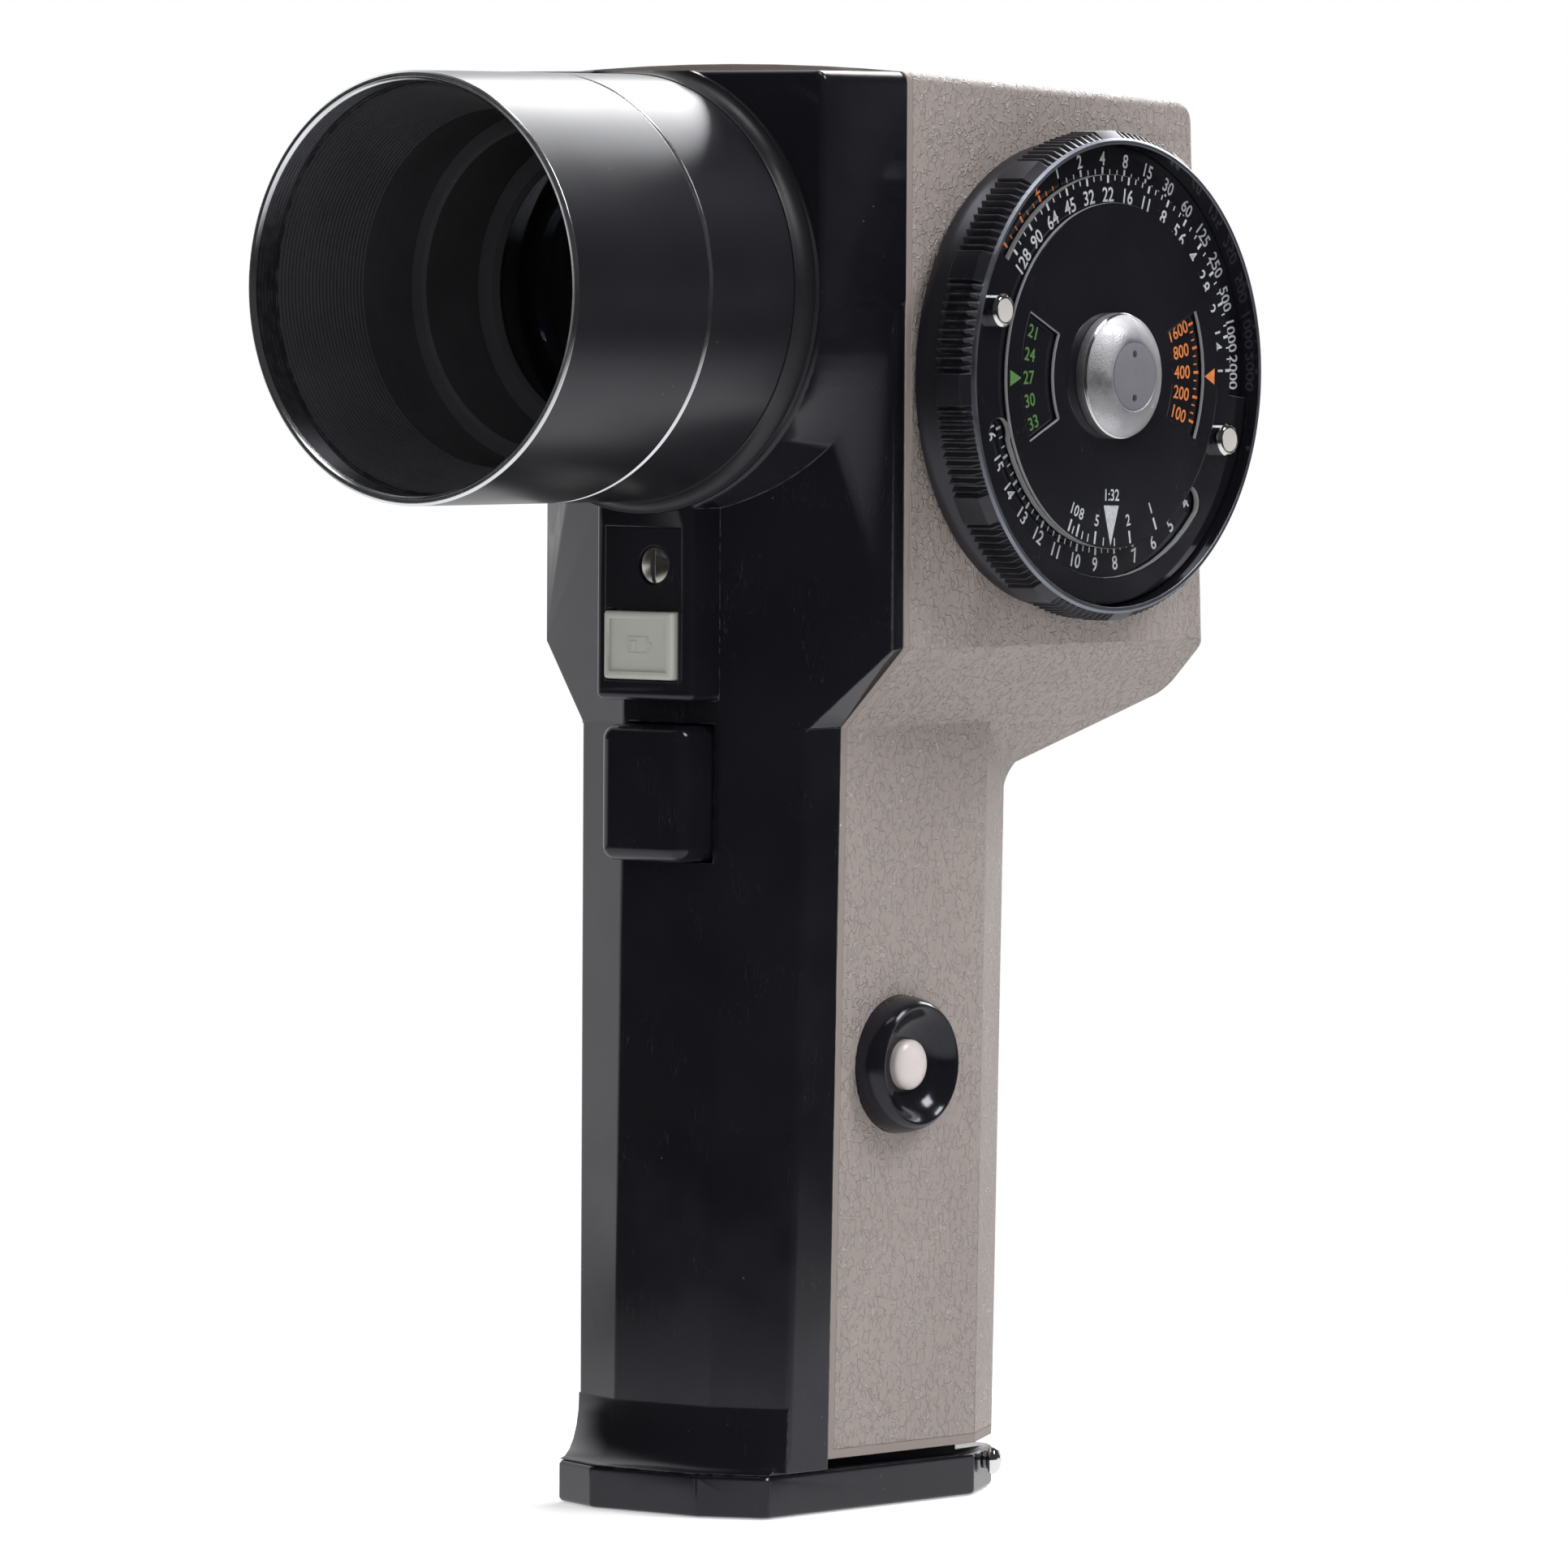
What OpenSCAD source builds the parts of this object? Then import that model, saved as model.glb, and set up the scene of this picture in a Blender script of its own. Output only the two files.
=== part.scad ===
// Hand-held spot meter: a lens and finder head on a pistol grip, with a calculator dial on the right side.
// The lens looks along -Y, the dial faces +X and +Z is up. The origin is the mouth of the tripod socket,
// in the underside of the base cap. Most pieces are drawn from the seam, the plane across the body where
// the black front casing meets the two rear covers, and from_seam() then moves them to their place.

/* [Head] */
// Width of the head over its two side faces
head_w = 52.8; // [50:0.2:56]
// Height of the flat top of the front casing
head_top = 167.5; // [165:0.5:172]
// Height of the lower edge of the head's side faces
head_low = 100.9; // [98:0.1:103]
// Length of the head behind the seam
head_back = 56.5; // [55.5:0.5:60]
// How much further back the rear face of the head stands at its foot than at its top
back_lean = 3; // [0:0.1:4]
// How far the head's front side edges stand ahead of the seam
head_edge_out = 1.8; // [1.4:0.1:2.2]
// Drop of the covers' top from the seam to the back
top_drop = 3.1; // [2:0.1:4]
// Crown of the covers' top above the front casing, at the middle
top_crown = 1; // [0.5:0.1:2]
// How far the lens block and the button panel stand ahead of the seam
block_out = 15.5; // [15:0.1:17]
// Rise of the underside behind the grip, per millimetre of length
under_slope = 0.45; // [0.3:0.05:0.6]
// How far the covers stand proud of the front casing at the seam
seam_step = 0.12; // [0.05:0.01:0.2]
// Thickness of the casing and cover walls
wall = 2.4; // [2:0.1:2.8]

/* [Grip] */
// Place of the seam behind the tripod socket
seam_y = -14; // [-16:0.5:-12]
// Width of the grip where it meets the head
grip_w = 34.4; // [33:0.1:36]
// Width of the grip at the base
grip_foot_w = 31.6; // [31:0.1:33]
// Height of the grip's side faces above the table
grip_top = 91.5; // [90:0.1:93]
// Width of the flat down the front of the grip
front_flat_w = 14.6; // [14.2:0.1:16]
// How far the front flat stands ahead of the seam
front_out = 10.2; // [9.8:0.1:10.8]
// How far the grip's side edges stand ahead of the seam
grip_edge_out = 5.9; // [5.5:0.1:6.2]
// How much further forward the front stands at the foot of the grip
front_lean = 1; // [0.5:0.1:1.5]
// Length of the grip's side faces behind the seam
grip_side_back = 27.6; // [27:0.1:28.5]
// Length of the whole grip behind the seam
grip_back = 38.4; // [38:0.1:39]
// Width of the flat down the back of the grip
back_flat_w = 23; // [21:0.5:25]
// Half width of the hollow inside the grip
hollow_half_w = 13.4; // [13:0.1:13.6]

/* [Base] */
// Thickness of the base cap
base_t = 5; // [4.5:0.1:6]
// How far the toe of the front casing and the base cap flare forward
toe_out = 3.5; // [2.5:0.1:4]
// Height of the flare
toe_h = 7.5; // [5:0.5:10]
// Dark gap between the covers and the base cap
base_gap = 1.2; // [0.8:0.1:1.6]
// Radius of the tripod thread
tripod_r = 3.175; // [3.175, 4.76]
// Depth of the tripod thread
tripod_depth = 7.5; // [6:0.5:9]
// Outer radius of the tripod bush
bush_r = 5.2; // [5.2:0.1:5.8]

/* [Barrel] */
// Height of the lens axis
lens_z = 142.4; // [142:0.1:143]
// Outer radius of the barrel
barrel_r = 24.7; // [24.2:0.1:25]
// Radius of the filter thread inside the hood
filter_r = 23.6; // [23.4:0.05:23.8]
// Length of the filter thread
filter_l = 3.8; // [3:0.1:4.5]
// Wall of the hood tube behind the thread, where the baffle and the barrel's spigot slide in
tube_wall = 1.4; // [1.2:0.1:1.6]
// Length of the hood tube, from its rim to the groove
hood_l = 23.7; // [22:0.1:25]
// Length of the barrel, from the groove to the lens block
barrel_l = 17.8; // [17:0.1:19]
// Radius of the smooth bore behind the baffle
bore_r = 20.5; // [20.2:0.1:20.8]
// Radius of the front lens
lens_r = 17; // [16:0.1:17.2]
// Outer radius of the ring at the root of the barrel
collar_r = 26.1; // [25.6:0.1:26.2]
// Width of that ring along the lens axis
collar_l = 2.9; // [2.4:0.1:3.4]

/* [Dial] */
// Distance of the dial's axis behind the seam
dial_y = 27.9; // [27.5:0.1:28.2]
// Height of the dial's axis
dial_z = 132.4; // [132:0.1:133]
// Height of the raised field of the right cover under the dial
pad_t = 0.9; // [0.5:0.1:1.2]
// Radius of the dial's foot flange where it meets the cover
flange_r = 27.3; // [27:0.1:28]
// Thickness of the foot flange
flange_t = 3.7; // [3.5:0.1:4]
// Radius of the knurled ring over its tooth tips
ring_r = 28.5; // [28.2:0.1:28.8]
// Depth of the knurled ring along the dial's axis
ring_t = 5; // [4.8:0.1:5.4]
// Depth of a knurl tooth
tooth_d = 0.7; // [0.5:0.05:0.9]
// Number of smooth blocks round the ring, with a run of teeth after each
blocks = 12; // [10:1:14]
// Number of teeth in each run
run_teeth = 10; // [8:1:11]
// Angle that one smooth block takes
block_angle = 8; // [6:0.5:9]
// Inner radius of the ring's raised lip
lip_r = 27; // [26.8:0.05:27.2]
// Thickness of the printed scale disc
scale_t = 0.9; // [0.7:0.1:1]
// Thickness of the film speed disc
speed_t = 0.8; // [0.6:0.1:0.9]
// Radius of the fixed centre plate
plate_r = 20.2; // [19.8:0.1:20.4]
// Thickness of the fixed centre plate
plate_t = 0.5; // [0.4:0.1:0.7]
// Radius of the bearing on the dial's shaft
shaft_r = 4; // [3.8:0.1:4.2]
// Radius of the hub cap
hub_r = 7.35; // [7:0.05:7.6]
// Height of the hub cap above the centre plate
hub_h = 3.1; // [2.9:0.1:3.6]
// Radius of the hub nut's face
nut_r = 4; // [3.9:0.05:4.2]
// Radius of the two grip pins of the speed disc
pin_r = 1.95; // [1.6:0.05:2.1]
// Height of the grip pins above the speed disc
pin_h = 1.5; // [1.2:0.1:1.8]
// Distance of the grip pins from the dial's axis
pin_at_r = 22.8; // [22.7:0.1:23]
// Angle of the first grip pin, clockwise from the top
pin_angle = -70; // [-72:0.5:-68]

/* [Controls] */
// Width of the trigger
trigger_w = 12.6; // [12:0.1:12.8]
// Height of the trigger
trigger_h = 15.8; // [15:0.1:16.2]
// Height of the trigger's middle above the table
trigger_z = 83.8; // [83.6:0.1:84]
// How far the trigger stands ahead of the seam
trigger_out = 16; // [15:0.1:17]
// Travel of the trigger
trigger_travel = 2; // [1.5:0.1:2]
// Width of the battery check button
check_w = 10.3; // [10:0.1:10.4]
// Height of the battery check button
check_h = 7.9; // [7.5:0.1:8.1]
// Height of the check button's middle
check_z = 101; // [100.8:0.1:101.2]
// How far the check button stands proud of the panel
check_proud = 1; // [0.8:0.1:1.4]
// Travel of the check button
check_travel = 0.7; // [0.5:0.1:0.7]
// Width of the raised panel below the lens
panel_w = 14.4; // [14:0.1:14.5]
// Width of the inlaid front plate
inlay_w = 11.4; // [11.2:0.1:12]
// Height of the inlaid front plate
inlay_h = 18; // [17.8:0.1:18.4]
// Height of the inlaid plate's middle
inlay_z = 105.7; // [105.5:0.1:105.9]
// Radius of the slotted zero screw's head
zero_r = 2.1; // [1.8:0.05:2.2]
// Sideways place of the zero screw
zero_x = 1.6; // [1:0.1:2]
// Height of the zero screw
zero_z = 110.3; // [109.8:0.1:110.6]
// Height of the lamp button
lamp_z = 51.8; // [50:0.1:53]
// Distance of the lamp button behind the seam
lamp_y = 11.9; // [11.5:0.1:12.3]
// Outer radius of the dished ring round the lamp button
lamp_ring_r = 8.1; // [7.8:0.05:8.3]
// Height of that ring above its seat
lamp_ring_h = 4.1; // [3.8:0.1:4.4]
// Radius of the lamp button
lamp_r = 2.95; // [2.7:0.05:3.1]
// Travel of the lamp button
lamp_travel = 1.5; // [1:0.1:1.6]

/* [Eyepiece] */
// Outer radius of the eyepiece tube
eye_r = 9; // [8.8:0.1:9.2]
// Outer radius of the focusing ring
focus_r = 12.5; // [12:0.1:13]
// Length of the focusing ring
focus_l = 7; // [6:0.5:8]
// Length of the rubber eyecup behind the focusing ring
cup_l = 3.5; // [3:0.5:5]

/* [Movement] */
// Height of the meter's pivot
meter_z = 106; // [105.8:0.1:106.2]
// Length of the pointer above its pivot
pointer_l = 30.5; // [30:0.1:31]
// Angle of the resting pointer left of upright
pointer_rest = 12; // [10:0.5:13]

/* [Fits and screws] */
// Radial clearance of a part that turns in a bore
running = 0.05; // [0.03:0.01:0.08]
// Clearance round a button in its window
window_gap = 0.2; // [0.2:0.05:0.3]
// Clearance between pieces of one body that are slid together
slip = 0.03; // [0.02:0.01:0.05]
// Radius of the small machine screws
screw_r = 1; // [0.9:0.05:1.1]
// Radius of their heads
screw_head_r = 1.9; // [1.8:0.05:2]
// Thickness of their heads
screw_head_t = 1.2; // [1:0.1:1.4]

/* [Hidden] */
$fn = 72;
over = 1;
time_window_r = 23.5;
stud_z = 3.6;

// Half widths and the planes of the body
hw = head_w / 2;
gw = grip_w / 2;
fw = grip_foot_w / 2;
flat = front_flat_w / 2;
back_flat = back_flat_w / 2;
back_flat_foot = back_flat - (gw - fw);
side_run = (hw - gw) / (head_low - grip_top);
bevel_run = (front_out - head_edge_out) / (hw - flat);
bevel_in = wall * sqrt(1 + bevel_run * bevel_run);
under_in = wall * sqrt(1 + under_slope * under_slope);
side_in = wall * sqrt(1 + 1 / (side_run * side_run));
hull_low = 80;
far = 60;
throat_z = grip_top - (gw - back_flat) / side_run;
crown_r = (hw * hw + top_crown * top_crown) / (2 * top_crown);
top_tilt = atan(top_drop / head_back);
// Slope of the head's rear face, and the height at which it is as far back as head_back says
back_slope = back_lean / (head_top - head_low);
back_pivot_z = lens_z - focus_r;
cover_low = base_t + base_gap;
hollow_back = grip_back - wall;
foot_flat = flat + 0.7;
socket_y = -seam_y;

// Planes along the lens axis, all from the seam
block_in = -block_out + wall;
chassis_t = 3;
chassis_back = block_in + chassis_t;
groove_at = -block_out - barrel_l;
rim_at = groove_at - hood_l;
baffle_at = rim_at + filter_l;
bore_at = rim_at + 15.5;
spigot_l = 5.7;
// Radius of the hood's seat for the baffle and the spigot, and the width of the baffle's front lip
seat_r = barrel_r - tube_wall;
baffle_lip = 0.35;
// Radius of the hollow in the lens block, and of the chassis disc that stands in it
block_bore = hw - wall;
disc_r = block_bore - 0.6;
cell_at = groove_at + 0.3;
rear_ring_l = 5;
cell_r = 18.9;
rear_lens_r = 14;
rear_lens_t = 3.5;
glass_at = -block_out - 6.5;
glass_t = 6;
lens_gap = 1.5;
cell_stop_r = rear_lens_r - 0.8;
cell_gap_r = rear_lens_r + 1.3;
shelf_z = lens_z - 22.9;
shelf_t = 2.5;
shelf_top = shelf_z + shelf_t;
shelf_half_w = 17;
back_wall_at = 43;
back_wall_t = 3;
back_wall_half_w = 14;
back_wall_rise = 12;
pointer_slot_half_w = 6.5;
ledge_half_w = 12.5;
tongue_half_w = 5.8;
ledge_t = 4;
shelf_screw_x = 14.8;
shelf_screw_y = [8, 38];
prism_side = 14;
prism_y = 18.5;
prism_low = lens_z - prism_side / 2;
tube_front = 34;
scale_plate_t = 0.4;
pointer_y = tube_front - scale_plate_t - 0.6;
magnet_y = [19, 30];
magnet_half_w = 9.5;
magnet_drop = 9;
magnet_bore_r = 7;
magnet_screw_x = 7.32;
magnet_screw_y = magnet_y[1] - 1.6;
core_r = 4.4;
eye_bore = eye_r - 1;

// Planes along the dial's axis
pad_x = hw + pad_t;
pad_top = dial_z + 27.6;
shaft_foot_t = 1;
flange_floor_x = pad_x + 1.7;
hub_low_x = flange_floor_x + 0.9;
flange_x = pad_x + flange_t;
ring_x = flange_x + 0.2;
ring_front = ring_x + ring_t;
ledge_x = ring_x + 1.5;
scale_x = ledge_x + scale_t;
speed_x = scale_x + 0.2;
speed_front = speed_x + speed_t;
plate_x = speed_front + 0.2;
plate_front = plate_x + plate_t;
hub_front = plate_front + hub_h;
hub_floor_t = 1;
stud_r = 3;
stud_end = hub_front - 0.7;

// Panel and grip controls
panel_low = 94.6;
panel_wall = 2;
panel_floor = -9;
inlay_t = 0.5;
check_back = -block_out - check_proud + 4.4;
lip_t = 0.8;
front_in = -front_out + wall;
bar_y = [-2, -0.2];
lamp_seat = fw + 0.1;
lamp_inner = hollow_half_w;
battery_y = 26;
battery_r = 6.5;
battery_z = [8, 33.1];
coin_y = -3.6;
case_screw_at = [[4, head_top - 9, -hw + 3.9], [head_back - 7, head_top - 9, -hw + 3.9],
    [head_back - 6.5, head_low + 5.1, -hw + 3.9], [32.2, grip_top - 5.5, -11.5], [32.2, 44, -11.5]];
case_boss_r = 2.6;
case_head_t = 1.8;
case_head_r = 2;
case_thread_end = 8;
board_y = [3, 28.5];
board_z = [44, 88];
board_x = -12.4;
board_t = 1.6;
board_screw_at = [[6, 85], [6, 47]];
detent_at_r = 24.3;
ball_r = 0.8;
flange_screw_r = 14;
barrel_screw_at_r = 21.4;
barrel_screw_l = 8;
shelf_screw_l = 5.5;
plate_screw_l = 3.8;

module from_seam() {
    translate([0, seam_y, 0]) children();
}

// A block between two values along each axis
module block(x, y, z) {
    translate([x[0], y[0], z[0]]) cube([x[1] - x[0], y[1] - y[0], z[1] - z[0]]);
}

module rod_x(r, x, y, z) {
    translate([x[0], y, z]) rotate([0, 90, 0]) cylinder(r = r, h = x[1] - x[0]);
}

module rod_y(r, y, x, z) {
    translate([x, y[0], z]) rotate([-90, 0, 0]) cylinder(r = r, h = y[1] - y[0]);
}

module rod_z(r, z, x, y) {
    translate([x, y, z[0]]) cylinder(r = r, h = z[1] - z[0]);
}

// A body turned about the lens axis, from points of radius and place along Y
module turned_y(points, z = lens_z) {
    translate([0, 0, z]) rotate([-90, 0, 0]) rotate_extrude() polygon(points);
}

// A body turned about an axis along X, from points of radius and place along X
module turned_x(points, y, z) {
    translate([0, y, z]) rotate([0, 90, 0]) rotate_extrude() polygon(points);
}

// An outline in the Y-Z plane, made as wide as the far planes
module along_x(points, x = [-far, far]) {
    translate([x[0], 0, 0]) rotate([90, 0, 90]) linear_extrude(x[1] - x[0]) polygon(points);
}

// An outline in the X-Z plane, run along Y
module along_y(points, y) {
    translate([0, y[1], 0]) rotate([90, 0, 0]) linear_extrude(y[1] - y[0]) polygon(points);
}

// A ring of wire round a helix, as one closed tube along Z
module coil_spring(r, wire_r, length, turns) {
    sides = 6;
    steps = 12 * turns;
    function ring(i) = let (a = 360 * turns * i / steps)
        [for (k = [0 : sides - 1]) let (b = 360 * k / sides)
            [(r + wire_r * cos(b)) * cos(a), (r + wire_r * cos(b)) * sin(a),
             wire_r + (length - 2 * wire_r) * i / steps + wire_r * sin(b)]];
    points = [for (i = [0 : steps]) each ring(i)];
    sides_faces = [for (i = [0 : steps - 1]) for (k = [0 : sides - 1])
        [i * sides + k, i * sides + (k + 1) % sides, (i + 1) * sides + (k + 1) % sides, (i + 1) * sides + k]];
    first = [for (k = [sides - 1 : -1 : 0]) k];
    last = [for (k = [0 : sides - 1]) steps * sides + k];
    polyhedron(points, concat(sides_faces, [first], [last]));
}

// Plan of the body at the height of the head, from the seam
function head_plan(inset) = let (w = hw - inset[0], f = flat - inset[0] / 5)
    [[-w, -front_out + inset[1] + (w - flat) * bevel_run], [-f, -front_out + inset[2]],
     [f, -front_out + inset[2]], [w, -front_out + inset[1] + (w - flat) * bevel_run],
     [w, head_back + back_lean], [-w, head_back + back_lean]];

function grip_plan(side, back, lean) =
    [[-side, -grip_edge_out - lean - (gw - side) * bevel_run], [-flat, -front_out - lean],
     [flat, -front_out - lean], [side, -grip_edge_out - lean - (gw - side) * bevel_run],
     [side, grip_side_back], [back, grip_back], [-back, grip_back], [-side, grip_side_back]];

function base_plan(inset = 0) = let (f = foot_flat, w = fw - inset, y = -front_out - front_lean - toe_out)
    [[-w, y + (w - f) * bevel_run], [-f, y], [f, y], [w, y + (w - f) * bevel_run],
     [w, grip_side_back], [back_flat_foot, grip_back], [-back_flat_foot, grip_back], [-w, grip_side_back]];

function head_section(inset, top) = let (w = hw - inset[0])
    [[-w, top], [-w, head_low - inset[0] / side_run + inset[1]],
     [-gw + (grip_top - hull_low) * side_run, hull_low + inset[1]],
     [gw - (grip_top - hull_low) * side_run, hull_low + inset[1]],
     [w, head_low - inset[0] / side_run + inset[1]], [w, top]];

// The line of the underside behind the grip, raised by a given amount
function under_line(rise, inset = 0) =
    let (base = head_back - inset + back_slope * (back_pivot_z - throat_z - rise),
        corner = (base + back_slope * under_slope * grip_back) / (1 + back_slope * under_slope))
    [[-far, throat_z + rise], [grip_back, throat_z + rise],
     [corner, throat_z + rise + under_slope * (corner - grip_back)],
     [base - back_slope * 2 * far, throat_z + rise + 2 * far], [-far, throat_z + rise + 2 * far]];

module head_mass(top, step = 0) {
    intersection() {
        linear_extrude(head_top + far) polygon(head_plan([step, step, 0]));
        along_y(head_section([step, step], top), [-far, far + far]);
        along_x(under_line(0));
    }
}

module grip_mass() {
    hull() {
        translate([0, 0, grip_top - 0.01]) linear_extrude(0.01)
            polygon(grip_plan(gw, back_flat, 0));
        translate([0, 0, base_t]) linear_extrude(0.01)
            polygon(grip_plan(fw, back_flat_foot, front_lean));
    }
}

// Concave fillet in the throat between the back of the grip and the head
module throat_fillet() {
    r = 5;
    turn = 90 - atan(under_slope);
    run = r * tan(turn / 2);
    cy = grip_back + r;
    cz = throat_z - run;
    arc = [for (a = [180 : -10 : 180 - turn + 0.01]) [cy + r * cos(a), cz + r * sin(a)]];
    tip = [cy + r * cos(180 - turn), cz + r * sin(180 - turn)];
    along_x(concat([[grip_back - over, cz]], arc,
            [tip, [tip[0], tip[1] + over], [grip_back - over, tip[1] + over]]),
        [-back_flat + 0.6, back_flat - 0.6]);
}

// The lens block: upright sides above the lens axis and a half round below it
module lens_block(r, y, top) {
    rise = top - lens_z;
    translate([0, y[1], lens_z]) rotate([90, 0, 0]) linear_extrude(y[1] - y[0]) intersection() {
        union() {
            circle(r = r);
            translate([-r, 0]) square([2 * r, rise]);
        }
        translate([-far, -far]) square([2 * far, far + rise]);
    }
}

// All that lies behind one face of the flared toe, drawn for a face that looks along -Y
module behind_toe_face(out) {
    curve = [for (t = [0 : 15 : 90]) [-out * (1 - cos(t)), base_t + toe_h * (1 - sin(t))]];
    along_x(concat([[far, base_t + toe_h]], curve, [[far, base_t]]));
}

module toe() {
    y = -front_out - front_lean;
    intersection() {
        translate([0, 0, -over]) linear_extrude(base_t + toe_h + 2 * over) polygon(base_plan(0.08));
        translate([0, y, 0]) behind_toe_face(toe_out);
        intersection_for(s = [-1, 1])
            translate([s * flat, y, 0]) rotate([0, 0, s * atan(bevel_run)])
                behind_toe_face(toe_out * cos(atan(bevel_run)));
    }
}

// Everything that is hollow inside the casing and the covers
module inner_space() {
    top_in = head_top - wall;
    intersection() {
        linear_extrude(head_top) polygon(head_plan([wall, bevel_in, wall]));
        along_y(head_section([wall, side_in], top_in - top_drop), [-far, far + far]);
        along_x(under_line(under_in, wall));
    }
    lens_block(block_bore, [block_in, over], top_in);
    front = head_plan([wall, bevel_in, wall]);
    side_y = -front_out + bevel_in + (hollow_half_w - flat) * bevel_run;
    grip_hollow = [[-hollow_half_w, side_y], front[1], front[2], [hollow_half_w, side_y],
        [hollow_half_w, grip_side_back - 0.1], [back_flat_foot - 1.3, hollow_back],
        [-back_flat_foot + 1.3, hollow_back], [-hollow_half_w, grip_side_back - 0.1]];
    translate([0, 0, base_t - over]) linear_extrude(head_low - wall - base_t + over) polygon(grip_hollow);
}

module front_casing() {
    color("#0b0b0d") from_seam() difference() {
        union() {
            difference() {
                union() {
                    head_mass(lens_z + 8, seam_step);
                    grip_mass();
                    lens_block(hw, [-block_out, over], head_top);
                    block([-panel_w / 2, panel_w / 2], [-block_out, -front_out + over],
                        [panel_low, lens_z - hw + over]);
                    toe();
                }
                inner_space();
                block([-far, far], [0, far + far], [-over, head_top + over]);
            }
            // Bar that carries the trigger switch
            block([-hollow_half_w - 0.5, hollow_half_w + 0.5], bar_y, [trigger_z - 5, trigger_z + 5]);
            // Boss for the coin screw
            rod_z(3.4, [base_t, 16], 0, coin_y);
            block([-3.4, 3.4], [front_in - 0.5, coin_y], [base_t, 16]);
        }
        // Hole for the lens cell and the four barrel screws
        rod_y(cell_r + 0.6, [-block_out - over, block_in + over], 0, lens_z);
        barrel_screw_places() rod_y(screw_r + 0.1, [-block_out - over, block_in + over], 0, 0);
        // Trigger window
        block([-trigger_w / 2 - window_gap, trigger_w / 2 + window_gap], [-front_out - over, front_in + 0.5],
            [trigger_z - trigger_h / 2 - window_gap, trigger_z + trigger_h / 2 + window_gap]);
        rod_y(1.2, [bar_y[0] - over, bar_y[1] + over], 0, trigger_z);
        // Seat of the inlaid plate, window and pocket of the check button
        block([-inlay_w / 2 - slip, inlay_w / 2 + slip], [-block_out - over, -block_out + inlay_t],
            [inlay_z - inlay_h / 2 - slip, inlay_z + inlay_h / 2 + slip]);
        block([-check_w / 2 - window_gap, check_w / 2 + window_gap],
            [-block_out - over, -block_out + panel_wall + over],
            [check_z - check_h / 2 - window_gap, check_z + check_h / 2 + window_gap]);
        block([-check_w / 2 - 0.9, check_w / 2 + 0.9], [-block_out + panel_wall, panel_floor],
            [check_z - check_h / 2 - 1, check_z + check_h / 2 + 1]);
        rod_y(screw_r + running, [-block_out - over, front_in + over], zero_x, zero_z);
        // Thread for the coin screw
        rod_z(2.05, [base_t - over, 14], 0, coin_y);
    }
}

// Places of the four screws that hold the barrel, round the lens axis
module barrel_screw_places() {
    for (a = [45 : 90 : 315])
        translate([barrel_screw_at_r * cos(a), 0, lens_z + barrel_screw_at_r * sin(a)]) children();
}

// The outer form of both covers, with the crowned top
module covers_mass() {
    intersection() {
        union() {
            head_mass(head_top + 4);
            grip_mass();
            throat_fillet();
        }
        block([-far, far], [0, far + far], [cover_low, head_top + 4]);
        translate([0, 0, head_top + top_crown - crown_r / cos(top_tilt)]) rotate([-90 - top_tilt, 0, 0])
            translate([0, 0, -far]) cylinder(r = crown_r, h = 3 * far, $fn = 360);
    }
}

// The bosses that the case screws pass through, on one side of the middle plane
module case_bosses(x) {
    for (p = case_screw_at)
        rod_x(case_boss_r, x, p[0], p[1]);
}

module cover_shell() {
    difference() {
        covers_mass();
        inner_space();
        rod_y(eye_r + 0.6, [head_back - wall - over, head_back + over], 0, lens_z);
    }
}

module right_cover() {
    pad_y = [dial_y - 25, dial_y + 26];
    color("#a39c99") from_seam() difference() {
        union() {
            intersection() {
                cover_shell();
                block([0, far], [0, far + far], [0, head_top + far]);
            }
            intersection() {
                case_bosses([0, hw - 0.5]);
                covers_mass();
            }
            // Raised field under the dial, with sloping ends
            translate([0, 0, head_low]) linear_extrude(pad_top - head_low)
                polygon([[hw - 0.5, pad_y[0]], [hw, pad_y[0]], [pad_x, pad_y[0] + 9], [pad_x, pad_y[1] - 9],
                    [hw, pad_y[1]], [hw - 0.5, pad_y[1]]]);
            shelf_ledge(1);
            // Ribs that carry the lamp switch
            for (s = [-1, 1])
                block([4.4, hollow_half_w + 0.5], [lamp_y - 4, lamp_y + 4],
                    [lamp_z + s * 5.75 - 0.75, lamp_z + s * 5.75 + 0.75]);
        }
        for (p = case_screw_at)
            rod_x(screw_r, [-over, case_thread_end + 1], p[0], p[1]);
        shelf_screw_holes(1);
        // Seat and hole of the lamp button's ring
        rod_x(lamp_ring_r + 0.05, [lamp_seat, lamp_seat + 5], lamp_y, lamp_z);
        rod_x(4.5 + slip, [hollow_half_w - over, lamp_seat + over], lamp_y, lamp_z);
        // Threads for the dial's flange
        dial_screw_places() rod_x(screw_r, [hw - wall - over, pad_x + over], 0, 0);
    }
}

module left_cover() {
    color("#a39c99") from_seam() difference() {
        union() {
            intersection() {
                cover_shell();
                block([-far, 0], [0, far + far], [0, head_top + far]);
            }
            intersection() {
                case_bosses([-hw + 0.5, 0]);
                covers_mass();
            }
            shelf_ledge(-1);
            for (p = board_screw_at)
                rod_x(2, [-hollow_half_w - 0.5, board_x], p[0], p[1]);
        }
        for (p = case_screw_at) {
            rod_x(screw_r + 0.1, [p[2] - over, over], p[0], p[1]);
            rod_x(case_head_r + 0.1, [-far, p[2]], p[0], p[1]);
        }
        shelf_screw_holes(-1);
        for (p = board_screw_at)
            rod_x(screw_r, [board_x - 2.5, board_x + over], p[0], p[1]);
    }
}

// Ledge of a cover under the chassis shelf
module shelf_ledge(side) {
    x = side > 0 ? [ledge_half_w, hw - 1] : [-hw + 1, -ledge_half_w];
    block(x, [2, back_wall_at + 2], [shelf_z - ledge_t, shelf_z]);
}

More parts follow.
